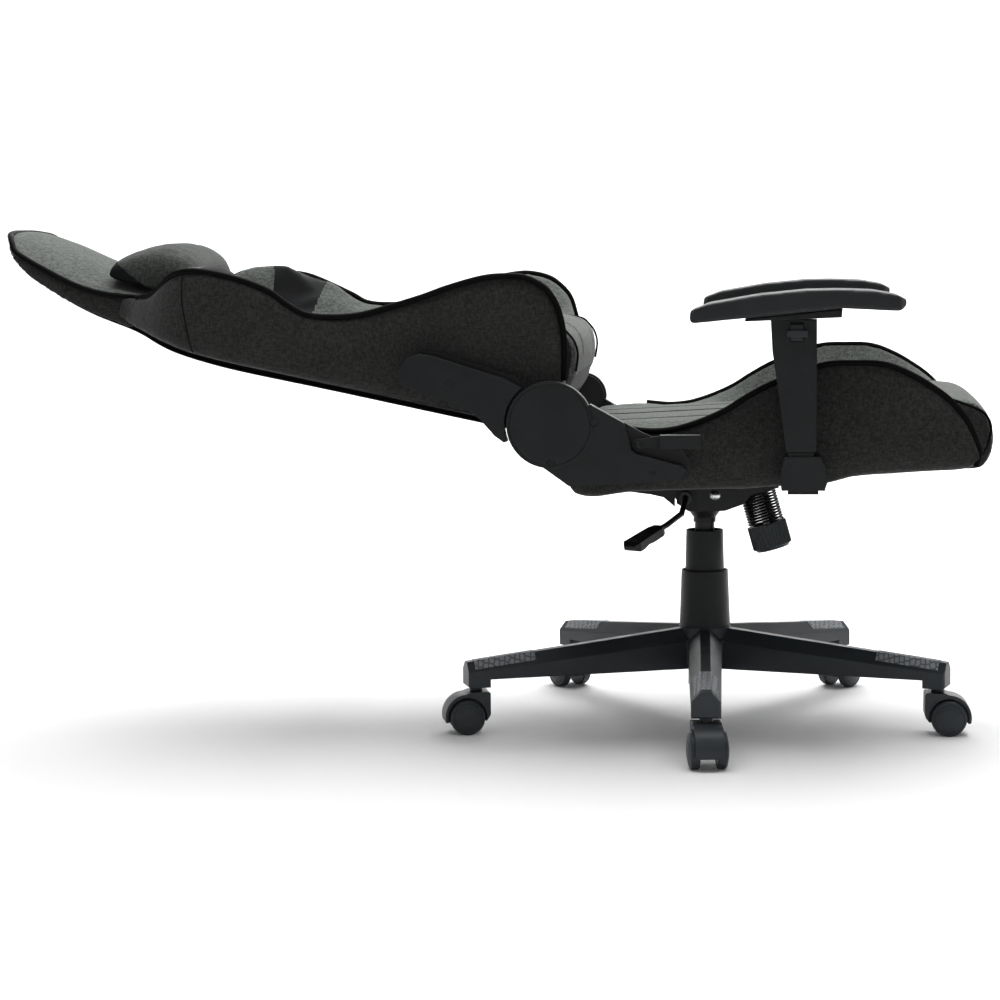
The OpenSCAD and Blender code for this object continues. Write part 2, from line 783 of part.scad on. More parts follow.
// the geared hinge with the lever sits on the right; the left one is a plain, smaller pivot
cap_r = [57, 35.5];
seat_arm = [
  [
    [-140, 471], [-76, 435], [-20, 409], [-12, 398], [-10, 387], [-18, 371], [-68, 367],
    [-169, 362], [-204, 388], [hinge_x, hinge_z]
  ],
  [
    [-160, 440], [-120, 416], [-24, 394], [-13, 384], [-21, 371], [-68, 367], [-169, 363],
    [-222, 418], [hinge_x, hinge_z]
  ]
];

cover_arm = [
  [
    [-140, 471], [-97, 447], [-90, 428], [-86.5, 411], [-79, 405], [-20, 390], [-15, 384],
    [-23, 372], [-68, 369], [-169, 364], [-205, 390], [hinge_x, hinge_z]
  ],
  [
    [-160, 440], [-120, 416], [-26, 391], [-16, 384], [-23, 372], [-68, 369], [-169, 365],
    [-221, 419], [hinge_x, hinge_z]
  ]
];

cover_screw = [[[-134.7, 448], [-191.6, 394]], [[-170, 402], [-96, 388]]];

// one hinge part per side: index 0 is the right side, 1 the left
module per_side() {
  right_side() {
    $s = 0;
    children();
  }
  let ($s = 1) children();
}

module recliner_seat_plates() {
  color("#1a1b1c") per_side() difference() {
    union() {
      side_plate(seat_arm[$s], seat_plate_in, seat_plate_in + plate_t);
      cross_pin(hinge_x, hinge_z, cap_r[$s] - 4, seat_plate_in, seat_plate_in + plate_t);
    }
    cross_pin(hinge_x, hinge_z, hinge_r + fit, seat_plate_in - 1, seat_plate_in + 10);
    cross_pin(lever_pivot[0], lever_pivot[1], 4 + fit, seat_plate_in - 1, seat_plate_in + 10);
  }
}

module seat_hinge_covers() {
  lip = cover_in + cover_t;
  color("#222426") per_side() difference() {
    union() {
      difference() {
        union() {
          side_plate(cover_arm[$s], cover_in, lip);
          cross_pin(hinge_x, hinge_z, cap_r[$s], cover_in, lip + cap_step);
        }
        translate([0, lip - cover_shell, 0]) rotate([90, 0, 0])
          linear_extrude(cover_t) offset(delta = -cover_shell) polygon(cover_arm[$s]);
        cross_pin(hinge_x, hinge_z, cap_r[$s] - cover_shell, cover_in - 1, lip + cap_step - cover_shell);
      }
      for (s = cover_screw[$s]) cross_pin(s[0], s[1], 7, cover_in, lip - 1);
    }
    cross_pin(-57.9, 382, 4, lip - 1.5, lip + 5);
    for (s = cover_screw[$s]) cross_pin(s[0], s[1], 5.5, lip - 1, lip + 9);
    for (s = cover_screw[$s]) cross_pin(s[0], s[1], 3 + tight, lip - 8, lip + 9);
    difference() {
      cross_pin(hinge_x, hinge_z, cap_r[$s] - 3, lip + cap_step - 0.8, lip + cap_step + 1);
      cross_pin(hinge_x, hinge_z, cap_r[$s] - 4.5, lip + cap_step - 2, lip + cap_step + 2);
    }
  }
}

module cover_screws() {
  lip = cover_in + cover_t;
  color("#2a2c2e") per_side() for (s = cover_screw[$s]) {
    cross_pin(s[0], s[1], 5, lip - 1, lip + 0.4);
    cross_pin(s[0], s[1], 3, lip - 8, lip - 0.5);
  }
}

module recliner_back_plates() {
  arm = [
    [-22, 0], [-12, 60], [-4, 120], [12, 206], [30, 213], [58, 190], [60, 165], [51, 60], [30, 20], [0, 0]
  ];
  color("#1a1b1c") per_side() in_back() {
    side_plate(arm, back_plate_in, back_plate_in + plate_t);
    cross_pin(0, 0, 33, back_plate_in, back_plate_in + plate_t);
    cross_pin(0, 0, hinge_r, back_plate_in, seat_plate_in + plate_t);
  }
}

module back_hinge_covers() {
  shape = [
    [27, 211], [45, 204], [54, 190], [55, 171], [46, 73], [37, 40], [0, 30], [-26, 38], [-36, 54],
    [-30, 68], [-13, 91], [-3, 112], [2, 138], [4.5, 177], [9.5, 204]
  ];
  start = back_plate_in + plate_t;
  lip = cover_in + cover_t - 2;
  color("#222426") per_side() in_back() difference() {
    side_plate(shape, start, lip);
    translate([0, lip - cover_shell, 0]) rotate([90, 0, 0])
      linear_extrude(lip - cover_shell - start + 1) difference() {
        offset(delta = -cover_shell) polygon(shape);
        circle(r = cap_r[$s] + 3 + cover_shell);
      }
    cross_pin(0, 0, cap_r[$s] + 3, start - 1, lip + 9);
    cross_pin(25.8, 140.6, 6.4, lip - 1.5, lip + 9);
  }
}

module recline_lever() {
  x = lever_pivot[0];
  z = lever_pivot[1];
  color("#1d1f21") right_side() {
    cross_pin(x, z, 4, seat_plate_in, cover_in + 7);
    cross_pin(x, z, 8.5, cover_in, cover_in + 4);
    side_plate([[x, z - 7], [x + 31, z - 1], [x + 31, z + 12], [x - 2, z + 8]], cover_in, cover_in + 3.5);
    side_plate([
      [x + 29, z - 4.5], [x + 81, z - 4.5], [x + 83, z - 2.5], [x + 83, z + 11.5], [x + 81, z + 13.5],
      [x + 29, z + 13.5]
    ], cover_in - 0.2, cover_in + 16);
  }
}

// ---------- backrest ----------

module back_rail(a, b, r) {
  d = b - a;
  length = norm(d);
  translate(a) rotate([0, acos(d[2] / length), atan2(d[1], d[0])]) cylinder(r = r, h = length);
}

module back_frame() {
  n = -5;
  top_y = head_half_w - 30;
  foot = [n, back_rail_y, 30];
  elbow = [n, back_rail_y, 480 * bu];
  neck = [4, top_y + 8, 600 * bu];
  crown = [21, top_y, 690 * bu];
  color("#222324") in_back() {
    both_sides() {
      back_rail(foot, elbow, tube_r_back);
      back_rail(elbow + [0, 0, -8], neck, 6);
      back_rail(neck, crown, 6);
      for (p = [neck, crown]) translate(p) sphere(r = 6.3);
      for (u = back_boss_u) cross_pin(back_boss_n, u, boss_r, back_rail_y, back_plate_in);
    }
    for (u = [50, 300 * bu, 460 * bu]) cross_pin(n, u, 8, -back_rail_y, back_rail_y);
    cross_pin(crown[0], crown[2], 5.8, -top_y, top_y);
  }
}

module back_outline(half, head_half, start) {
  rotate([0, 90, 0]) translate([0, 0, -60]) linear_extrude(300) polygon([
    for (side = [1, -1])
      let (points = [
        [start, half - 14], [start + 14, half - 6], [110 * bu, half], [320 * bu, half - 8],
        [420 * bu, half], [520 * bu, half], [546 * bu, half - 22], [neck_u - 22, head_half + 22],
        [neck_u, head_half + 2], [neck_u + 60, head_half], [back_len - 60, head_half - 5],
        [back_len - 28, head_half - 20], [back_len - 14, head_half - 45], [back_len, 40]
      ])
      for (p = side > 0 ? points : reverse(points)) [-p[0], side * p[1]]
  ]);
}

module back_cushion() {
  b = back_len;
  side = [
    [8, 0], [45, -4], [62, -8], [85, -9], [104, -7], [118, 2], [126, 25], [124, 70], [112, 130 * bu],
    [92, 200 * bu], [74, 280 * bu], [63, 360 * bu], [56, 450 * bu], [53, 540 * bu], [51, 620 * bu],
    [56, 700 * bu], [66, b - 62], [77, b - 20], [79, b], [66, b + 2], [63, b - 24], [44, b - 81],
    [30, 690 * bu], [13, neck_u], [8, shoulder_u]
  ];
  color("#4a4a47") in_back() intersection() {
    side_plate(side, -back_half, back_half);
    back_outline(back_in, head_half_w, -12);
  }
}

module back_bolsters() {
  w = wing_h;
  side = [
    [-16, 22], [-16, 470 * bu], [-9, 545 * bu], [6, 592 * bu], [34, 592 * bu], [44, 574 * bu],
    [61, 560 * bu], [78, 545 * bu], [88, 528 * bu], [95, 507 * bu], [97, 477 * bu], [94, 440 * bu],
    [88, 406 * bu], [77, 378 * bu], [70, 350 * bu], [71, 323 * bu], [75, 303 * bu], [83, 281 * bu],
    [102, 242 * bu], [124, 201 * bu], [w - 37, 173], [w - 14, 132], [w - 4, 103], [w, 76], [w - 7, 49],
    [w - 20, 33], [w - 38, 21], [w - 60, 11], [w - 86, 4], [58, -2], [20, -2], [0, 4]
  ];
  section = [
    [back_in + 0.5, 8], [back_rail_y + 14, 8], [back_rail_y + 14, -18], [back_half - 32, -18],
    [back_half - 10, -6], [back_half, 24], [back_half - 2, 120], [back_half - 10, w + 2],
    [back_half - 24, w + 2], [back_half - 38, 110], [back_in + 0.5, 62]
  ];
  color("#3b3b39") in_back() both_sides() difference() {
    intersection() {
      side_plate(side, 0, back_half + 5);
      linear_extrude(big, center = true) polygon([for (p = section) [p[1], p[0]]]);
      back_outline(back_half, head_half_w, -4);
    }
    for (u = back_boss_u) cross_pin(back_boss_n, u, boss_r + gap, 0, back_half + 20);
  }
}

module back_panel() {
  b = back_len;
  outer = [
    [-22, 24], [-24, 430 * bu], [-21, 495 * bu], [-15, 553 * bu], [-8, 608 * bu], [3, 675 * bu],
    [25, b - 81], [40, b - 44], [53, b - 26]
  ];
  side = concat(outer, reverse([for (p = outer) [p[0] + panel_t, p[1]]]));
  color("#161718") in_back() intersection() {
    side_plate(side, -back_half, back_half);
    back_outline(back_half - 32, head_half_w - 10, 10);
  }
}

module head_pillow() {
  half = head_half_w - 20;
  side = [
    [58, 552 * bu], [66, 545 * bu], [86, 546 * bu], [102, 556 * bu], [110, 572 * bu], [113, 594 * bu],
    [107, 622 * bu], [94, 644 * bu], [78, 656 * bu], [66, 655 * bu], [58, 646 * bu]
  ];
  color("#565653") in_back() intersection() {
    side_plate(side, -half, half);
    rotate([0, 90, 0]) linear_extrude(300) polygon([
      [-544 * bu, half - 45], [-562 * bu, half], [-638 * bu, half], [-657 * bu, half - 45],
      [-657 * bu, 45 - half], [-638 * bu, -half], [-562 * bu, -half], [-544 * bu, 45 - half]
    ]);
  }
}

// ---------- armrests ----------

module arm_brackets() {
  color("#1b1c1d") both_sides() difference() {
    union() {
      box(arm_x - 17, arm_x + 23, strap_half + 4, arm_y + bar_t / 2, frame_z - bar_t, frame_z);
      box(arm_x - bar_half, arm_x + bar_half, arm_y - bar_t / 2, arm_y + bar_t / 2, frame_z - bar_t, bar_top_z);
    }
    for (y = [152, 184]) translate([front_bolt_x, y, frame_z - bar_t - 1]) cylinder(r = bolt_r + gap, h = 10);
  }
}

module arm_sleeves() {
  base_z = frame_z + gap;
  color("#1e2022") both_sides() difference() {
    union() {
      side_plate([
        [arm_x - 25, base_z], [arm_x + 31, base_z], [arm_x + 35, base_z + 13], [arm_x + 33, base_z + 26],
        [arm_x + 26, sleeve_top_z], [arm_x - 21, sleeve_top_z], [arm_x - 26, base_z + 26],
        [arm_x - 27, base_z + 13]
      ], arm_y - sleeve_half, arm_y + sleeve_half);
      box(arm_x - 17, arm_x + 17, arm_y - 13, arm_y + 13, sleeve_top_z, neck_top_z);
    }
    box(arm_x - bar_half - gap, arm_x + bar_half + gap, arm_y - bar_t / 2 - gap, arm_y + bar_t / 2 + gap,
      base_z - 1, neck_top_z + 1);
  }
}

module arm_post(s) {
  top_z = platform_z + 1.5;
  clear = fit + 0.25;
  color("#222426") scale([1, s, 1]) difference() {
    union() {
      side_plate([
        [arm_x - 19, post_bottom_z], [arm_x + 20, post_bottom_z], [arm_x + 20.5, 500],
        [arm_x + 20.5, top_z], [arm_x - 39, top_z], [arm_x - 37, 540], [arm_x - 28, 480]
      ], arm_y - 16, arm_y + 16);
      side_plate([
        [arm_x - 72, platform_z], [arm_x + 52, platform_z + 4.5], [arm_x + 53, platform_z + 15],
        [arm_x - 72, platform_z + 2.6]
      ], arm_y - 26, arm_y + 26);
    }
    box(arm_x - bar_half - clear, arm_x + bar_half + clear, arm_y - bar_t / 2 - clear,
      arm_y + bar_t / 2 + clear, post_bottom_z - 1, bar_top_z + 5);
    box(arm_x - 14, arm_x + 3, arm_y + 10, arm_y + 20, platform_z - 26, platform_z - 0.5);
  }
}

module arm_button(s) {
  color("#141516") scale([1, s, 1]) {
    box(arm_x - 13.5, arm_x + 2.5, arm_y + 10.4, arm_y + 16.2, platform_z - 25.5, platform_z - 5);
    box(arm_x - 18, arm_x + 9, arm_y + 16.2, arm_y + 22.5, platform_z - 20.5, platform_z - 12);
  }
}

module arm_pad(s) {
  x0 = pad_rear_x;
  x1 = pad_rear_x + pad_len;
  h = arm_h;
  half = pad_w / 2;
  side = [
    [x0 + 3, h - 43], [x0, h - 37], [x0 + 2, h - 26], [x0 + 26, h - 17], [x0 + 92, h - 6],
    [x0 + 150, h - 0.6], [x0 + 190, h], [x1 - 45, h - 1.5], [x1 - 14, h - 7], [x1, h - 14], [x1 - 1, h - 23],
    [x1 - 8, h - 28.5], [x1 - 81, h - 24.5]
  ];
  color("#1f2122") scale([1, s, 1]) intersection() {
    side_plate(side, arm_y - half, arm_y + half);
    linear_extrude(h + 50) polygon([
      [x0 - 1, arm_y - half + 16], [x0 + 8, arm_y - half + 4], [x0 + 24, arm_y - half],
      [x1 - 24, arm_y - half], [x1 - 8, arm_y - half + 5], [x1 + 1, arm_y - half + 20],
      [x1 + 1, arm_y + half - 20], [x1 - 8, arm_y + half - 5], [x1 - 24, arm_y + half],
      [x0 + 24, arm_y + half], [x0 + 8, arm_y + half - 4], [x0 - 1, arm_y + half - 16]
    ]);
  }
}

star_base();
foot_grips();
caster_stems();
gas_stand_tube();
guide_bush();
thrust_bearing();
cover_lower();
cover_upper();
piston_rod();
for (i = [1 : spokes]) caster_hood(i);
for (i = [1 : spokes]) caster_wheel(i, 1);
for (i = [1 : spokes]) caster_wheel(i, -1);
pressure_tube();
mech_housing();
tilt_pins();
release_pin();
lever_bush();
height_lever();
lever_paddle();
tension_bolt();
tension_spring();
tension_knob();
seat_plate();
seat_bolts();
seat_frame();
seat_webbing();
seat_cushion();
seat_bolsters();
recliner_seat_plates();
seat_hinge_covers();
cover_screws();
arm_brackets();
arm_sleeves();
back_frame();
recliner_back_plates();
back_hinge_covers();
back_cushion();
back_bolsters();
back_panel();
head_pillow();
recline_lever();
arm_post(1);  // arm_post_left
arm_post(-1);  // arm_post_right
arm_pad(1);  // arm_pad_left
arm_pad(-1);  // arm_pad_right
arm_button(1);  // arm_button_left
arm_button(-1);  // arm_button_right
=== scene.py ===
"""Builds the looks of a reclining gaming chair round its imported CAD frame."""

import json
import math

import bmesh
import bpy
import numpy as np
from bpy.props import FloatProperty, FloatVectorProperty, PointerProperty
from mathutils import Matrix, Vector
from mathutils.bvhtree import BVHTree
from mathutils.kdtree import KDTree


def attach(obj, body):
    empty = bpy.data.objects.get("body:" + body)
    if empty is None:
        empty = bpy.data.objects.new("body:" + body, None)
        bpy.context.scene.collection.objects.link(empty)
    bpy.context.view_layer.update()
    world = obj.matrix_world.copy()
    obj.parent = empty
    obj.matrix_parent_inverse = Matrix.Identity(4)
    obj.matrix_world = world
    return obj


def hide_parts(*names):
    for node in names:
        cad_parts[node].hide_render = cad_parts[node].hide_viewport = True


bl_info = {
    "name": "Reclining Gaming Chair",
    "version": (1, 0, 0),
    "blender": (4, 5, 0),
    "location": "View3D > Sidebar > Chair",
    "description": "Upholstery, finishes and studio for a reclining gaming chair",
    "category": "Add Mesh",
}

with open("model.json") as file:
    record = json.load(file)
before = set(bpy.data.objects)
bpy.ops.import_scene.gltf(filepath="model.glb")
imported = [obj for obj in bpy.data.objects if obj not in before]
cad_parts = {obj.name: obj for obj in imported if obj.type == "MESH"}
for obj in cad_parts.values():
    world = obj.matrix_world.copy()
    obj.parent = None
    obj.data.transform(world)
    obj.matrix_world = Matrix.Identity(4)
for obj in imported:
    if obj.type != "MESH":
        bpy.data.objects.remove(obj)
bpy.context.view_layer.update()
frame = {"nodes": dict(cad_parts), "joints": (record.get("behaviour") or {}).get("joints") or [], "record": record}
MM = 0.001
HINGE = [1000 * v for v in next(j for j in frame["joints"] if j["name"] == "back_recline")["pos_m"]]
SIDES = {"right": -1, "left": 1}


def linear(hex_colour):
    """An sRGB hex colour as linear red, green and blue."""
    parts = [int(hex_colour[i : i + 2], 16) / 255 for i in (1, 3, 5)]
    return tuple(c / 12.92 if c <= 0.04045 else ((c + 0.055) / 1.055) ** 2.4 for c in parts)


def colour(label, text, hex_colour):
    """A colour that a user can change."""
    return FloatVectorProperty(
        name=label, description=text, subtype="COLOR", size=3, min=0, max=1, default=linear(hex_colour)
    )


def millimetres(label, text, value, low, high):
    """A length in millimetres that a user can change."""
    return FloatProperty(name=label, description=text, default=value, min=low, max=high, unit="NONE")


# ---------- sizes and colours ----------


class FabricSettings(bpy.types.PropertyGroup):
    """Colours of the covers."""

    pale: colour("Seat thread", "Lighter thread of the seat and front panels", "#6a6e6a")
    pale_deep: colour("Seat shade thread", "Darker thread of the seat and front panels", "#3a3d3a")
    dark: colour("Side thread", "Lighter thread of the side panels", "#343533")
    dark_deep: colour("Side shade thread", "Darker thread of the side panels", "#161716")
    leather: colour("Insert", "Leather-look shoulder inserts", "#0e0f11")
    piping: colour("Piping", "Covered cord along the edges", "#040404")
    backing: colour("Backing cloth", "Cloth on the rear of the back", "#1a1b1b")


class FormSettings(bpy.types.PropertyGroup):
    """Sizes of the upholstery."""

    piping_r: millimetres("Piping radius", "Radius of the covered cord, in mm", 4.2, 1.5, 6.0)
    seam_depth: millimetres("Seam depth", "How far a sewn seam pulls the cover in, in mm", 2.6, 0.5, 8.0)
    swell: millimetres("Panel swell", "The most that foam pushes a panel out, in mm", 8.0, 0.0, 25.0)
    voxel: millimetres("Mesh size", "Edge length of the upholstery meshes, in mm", 5.0, 3.0, 8.0)
    back_angle: FloatProperty(
        name="Back angle",
        description="Angle of the back above the horizontal at rest",
        subtype="ANGLE",
        default=math.radians(12.4),
    )


class FinishSettings(bpy.types.PropertyGroup):
    """Colours of the hard parts."""

    nylon: colour("Nylon", "Base, casters and moulded hardware", "#2b2f33")
    cover: colour("Covers", "Hinge covers, arm posts and lever handles", "#121416")
    steel: colour("Coated steel", "Powder-coated frame and mechanism", "#141517")
    arm_pad: colour("Arm pad", "Foamed arm pads", "#1b1d1f")
    floor: colour("Floor", "Studio floor and backdrop", "#fbfbfb")


def fabric():
    return bpy.context.scene.chair_fabric


def form():
    return bpy.context.scene.chair_form


def finish():
    return bpy.context.scene.chair_finish


# ---------- shapes ----------


def through(points, steps=8):
    """Points along a smooth curve that passes through the given ones."""
    p = np.array(points, float)
    ends = np.vstack([2 * p[0] - p[1], p, 2 * p[-1] - p[-2]])
    t = np.linspace(0, 1, steps, endpoint=False)[:, None]
    out = []
    for a, b, c, d in zip(ends, ends[1:], ends[2:], ends[3:]):
        out.append(
            0.5 * (2 * b + (c - a) * t + (2 * a - 5 * b + 4 * c - d) * t**2 + (3 * b - a - 3 * c + d) * t**3)
        )
    return np.vstack(out + [p[-1:]])


def table(points):
    """A smooth function of the first column, from rows sorted by it."""
    curve = through(points, 12)
    order = np.argsort(curve[:, 0])
    return lambda x: np.array([np.interp(x, curve[order, 0], curve[order, k]) for k in range(1, curve.shape[1])])


def back_point(u, n, y):
    """A point of the back, u up along it, n out of its front and y across, at rest."""
    a = form().back_angle
    return (
        HINGE[0] - u * math.cos(a) + n * math.sin(a),
        y,
        HINGE[2] + u * math.sin(a) + n * math.cos(a),
    )


def mesh_object(name, verts, faces):
    """A new object from points in millimetres."""
    mesh = bpy.data.meshes.new(name)
    mesh.from_pydata([tuple(MM * c for c in v) for v in verts], [], faces)
    mesh.update()
    obj = bpy.data.objects.new(name, mesh)
    bpy.context.scene.collection.objects.link(obj)
    return obj


def lofted(name, rings):
    """A closed shape through rings of equally many points."""
    count = len(rings[0])
    verts = [p for ring in rings for p in ring]
    faces = []
    for i in range(len(rings) - 1):
        for j in range(count):
            k = (j + 1) % count
            faces.append((i * count + j, i * count + k, (i + 1) * count + k, (i + 1) * count + j))
    for i, start in ((0, 0), (len(rings) - 1, (len(rings) - 1) * count)):
        verts.append(tuple(np.mean(np.array(rings[i], float), axis=0)))
        tip = len(verts) - 1
        faces += [(start + j, start + (j + 1) % count, tip) for j in range(count)]
    obj = mesh_object(name, verts, faces)
    bm = bmesh.new()
    bm.from_mesh(obj.data)
    bmesh.ops.recalc_face_normals(bm, faces=bm.faces)
    bm.to_mesh(obj.data)
    bm.free()
    return obj


def settle(obj):
    """Applies the object's modifiers to its mesh."""
    graph = bpy.context.evaluated_depsgraph_get()
    mesh = bpy.data.meshes.new_from_object(obj.evaluated_get(graph))
    obj.modifiers.clear()
    old = obj.data
    obj.data = mesh
    bpy.data.meshes.remove(old)
    return obj


def remeshed(obj, size, smooth=3):
    """Gives the object an even mesh of small square faces, with its corners eased."""
    mod = obj.modifiers.new("even", "REMESH")
    mod.mode = "VOXEL"
    mod.voxel_size = size * MM
    mod.use_smooth_shade = True
    ease = obj.modifiers.new("ease", "SMOOTH")
    ease.factor = 0.5
    ease.iterations = smooth
    return settle(obj)


def coords(obj):
    co = np.zeros(len(obj.data.vertices) * 3)
    obj.data.vertices.foreach_get("co", co)
    return co.reshape(-1, 3) * 1000


def normals(obj):
    no = np.zeros(len(obj.data.vertices) * 3)
    obj.data.vertices.foreach_get("normal", no)
    return no.reshape(-1, 3)


def set_coords(obj, co):
    obj.data.vertices.foreach_set("co", (co * MM).ravel())
    obj.data.update()


def distance_to(path, points):
    """How far each point is from a path, in millimetres."""
    dense = through(path, 10)
    gaps = np.linalg.norm(np.diff(dense, axis=0), axis=1)
    parts = [
        a + (b - a) * t
        for a, b, g in zip(dense, dense[1:], gaps)
        for t in np.arange(0, 1, min(1, 2 / max(g, 0.1)))
    ]
    tree = KDTree(len(parts))
    for i, p in enumerate(parts):
        tree.insert(p, i)
    tree.balance()
    return np.array([tree.find(p)[2] for p in points])


def swollen(obj, held, cap, pressure=4.0):
    """Fills the cover like foam: air pressure pushes the panels out.

    Held points stay, and none moves further than cap.
    """
    before = coords(obj)
    group = obj.vertex_groups.new(name="held")
    for weight in (1.0, 0.5):
        chosen = np.where(held >= weight)[0].tolist() if weight == 1.0 else np.where((held > 0) & (held < 1))[0].tolist()
        if chosen:
            group.add(chosen, weight, "REPLACE")
    mod = obj.modifiers.new("foam", "CLOTH")
    cloth = mod.settings
    cloth.quality = 4
    cloth.mass = 0.25
    cloth.tension_stiffness = 12
    cloth.compression_stiffness = 12
    cloth.bending_stiffness = 4
    cloth.use_pressure = True
    cloth.uniform_pressure_force = pressure
    cloth.effector_weights.gravity = 0
    cloth.vertex_group_mass = "held"
    cloth.pin_stiffness = 3
    mod.point_cache.frame_start = 1
    mod.point_cache.frame_end = 14
    scene = bpy.context.scene
    for step in range(1, 15):
        scene.frame_set(step)
    graph = bpy.context.evaluated_depsgraph_get()
    grown = obj.evaluated_get(graph)
    after = np.zeros(len(grown.data.vertices) * 3)
    grown.data.vertices.foreach_get("co", after)
    after = after.reshape(-1, 3) * 1000
    obj.modifiers.clear()
    obj.vertex_groups.clear()
    scene.frame_set(1)
    move = after - before
    length = np.linalg.norm(move, axis=1, keepdims=True)
    move *= cap * np.tanh(length / cap) / np.maximum(length, 1e-6)
    set_coords(obj, before + move)
    return obj


def subdivided(obj, levels=1):
    mod = obj.modifiers.new("fine", "SUBSURF")
    mod.levels = levels
    mod.render_levels = levels
    settle(obj)
    obj.data.polygons.foreach_set("use_smooth", [True] * len(obj.data.polygons))
    return obj


def sewn(obj, path, depth=None, width=7.0):
    """Pulls the cover in along a seam."""
    depth = form().seam_depth if depth is None else depth
    co = coords(obj)
    near = distance_to(path, co)
    pull = depth * np.exp(-((near / (0.5 * width)) ** 2))
    set_coords(obj, co - normals(obj) * pull[:, None])
    return obj


def laid_on(obj, path, toward, lift=0.0, steps=8):
    """The path moved along a direction until it lies on the object."""
    tree = BVHTree.FromObject(obj, bpy.context.evaluated_depsgraph_get())
    way = Vector(toward).normalized()
    out = []
    for p in through(path, steps):
        hit = tree.ray_cast((Vector(p) - way * 120) * MM, way)
        if hit[0] is not None:
            out.append(tuple(1000 * c for c in (hit[0] + hit[1] * lift * MM)))
    return out


def cord_on(name, path, radius, material, body, steps=6, smooth=True):
    """A thin round strip along a path, such as piping or thread."""
    line = through(path, steps) if smooth else np.array(path)
    curve = bpy.data.curves.new(name, "CURVE")
    curve.dimensions = "3D"
    curve.bevel_depth = radius * MM
    curve.bevel_resolution = 3
    curve.use_fill_caps = True
    spline = curve.splines.new("POLY")
    spline.points.add(len(line) - 1)
    for point, p in zip(spline.points, line):
        point.co = (p[0] * MM, p[1] * MM, p[2] * MM, 1)
    spline.use_smooth = True
    obj = bpy.data.objects.new(name, curve)
    bpy.context.scene.collection.objects.link(obj)
    curve.materials.append(material)
    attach(obj, body)
    return obj


def painted(obj, materials, chosen):
    """Gives each face one of the materials, from a function of face centres and normals in millimetres."""
    obj.data.materials.clear()
    for material in materials:
        obj.data.materials.append(material)
    count = len(obj.data.polygons)
    centre, normal = np.zeros(count * 3), np.zeros(count * 3)
    obj.data.polygons.foreach_get("center", centre)
    obj.data.polygons.foreach_get("normal", normal)
    index = chosen(centre.reshape(-1, 3) * 1000, normal.reshape(-1, 3))
    obj.data.polygons.foreach_set("material_index", index.astype(np.int32))
    obj.data.update()
    return obj


# ---------- finishes ----------


def add(tree, kind, own=(), sockets=()):
    """Adds a node, sets its own values, then fills or links its sockets."""
    made = tree.nodes.new(kind)
    for name, value in dict(own).items():
        setattr(made, name, value)
    for key, value in dict(sockets).items():
        if isinstance(value, bpy.types.NodeSocket):
            tree.links.new(value, made.inputs[key])
        else:
            made.inputs[key].default_value = value
    return made


def new_material(name, sockets):
    """A material with a Principled shader whose sockets hold the given values, and its tree and shader."""
    material = bpy.data.materials.new(name)
    material.use_nodes = True
    shader = material.node_tree.nodes["Principled BSDF"]
    for key, value in sockets.items():
        shader.inputs[key].default_value = value
    return material, material.node_tree, shader


def woven(name, light, deep, thread, contrast=1.0):
    # Woven melange polyester: mixed light and dark yarns give short streaks both ways, a dull face and a soft sheen.
    material, tree, shader = new_material(
        name, {"Roughness": 0.92, "Specular IOR Level": 0.18, "Sheen Weight": 0.12, "Sheen Roughness": 0.45}
    )
    place = add(tree, "ShaderNodeTexCoord").outputs["Object"]
    fine = 1000 / thread
    # yarns run both ways; each streak is a few threads long
    warp = add(tree, "ShaderNodeMapping", sockets={"Vector": place, "Scale": (fine, fine, fine / 2.5)})
    weft = add(tree, "ShaderNodeMapping", sockets={"Vector": place, "Scale": (fine / 2.5, fine / 2.5, fine)})
    streaks = [
        add(tree, "ShaderNodeTexNoise", sockets={"Vector": m.outputs[0], "Scale": 0.9, "Detail": 2, "Roughness": 0.7})
        for m in (warp, weft)
    ]
    both = add(tree, "ShaderNodeMath", {"operation": "ADD"}, {0: streaks[0].outputs[0], 1: streaks[1].outputs[0]})
    half = add(tree, "ShaderNodeMath", {"operation": "MULTIPLY"}, {0: both.outputs[0], 1: 0.5})
    wear = add(tree, "ShaderNodeTexNoise", sockets={"Vector": place, "Scale": 16, "Detail": 2})
    patchy = add(tree, "ShaderNodeMath", {"operation": "MULTIPLY_ADD"}, {0: wear.outputs[0], 1: 0.12, 2: -0.06})
    mixed = add(tree, "ShaderNodeMath", {"operation": "ADD"}, {0: half.outputs[0], 1: patchy.outputs[0]})
    spread = 0.22 / contrast
    yarn = add(
        tree,
        "ShaderNodeMapRange",
        {"interpolation_type": "SMOOTHSTEP"},
        {"Value": mixed.outputs[0], "From Min": 0.5 - spread, "From Max": 0.5 + spread},
    )
    tone = add(
        tree,
        "ShaderNodeMix",
        {"data_type": "RGBA"},
        {0: yarn.outputs[0], 6: (*deep, 1), 7: (*light, 1)},
    )
    tree.links.new(tone.outputs[2], shader.inputs["Base Color"])
    cross = add(tree, "ShaderNodeTexVoronoi", {"feature": "SMOOTH_F1"}, {"Vector": place, "Scale": fine * 0.45})
    relief = add(tree, "ShaderNodeMath", {"operation": "ADD"}, {0: cross.outputs[0], 1: half.outputs[0]})
    bump = add(tree, "ShaderNodeBump", sockets={"Height": relief.outputs[0], "Strength": 0.5, "Distance": 0.0009})
    tree.links.new(bump.outputs[0], shader.inputs["Normal"])
    return material


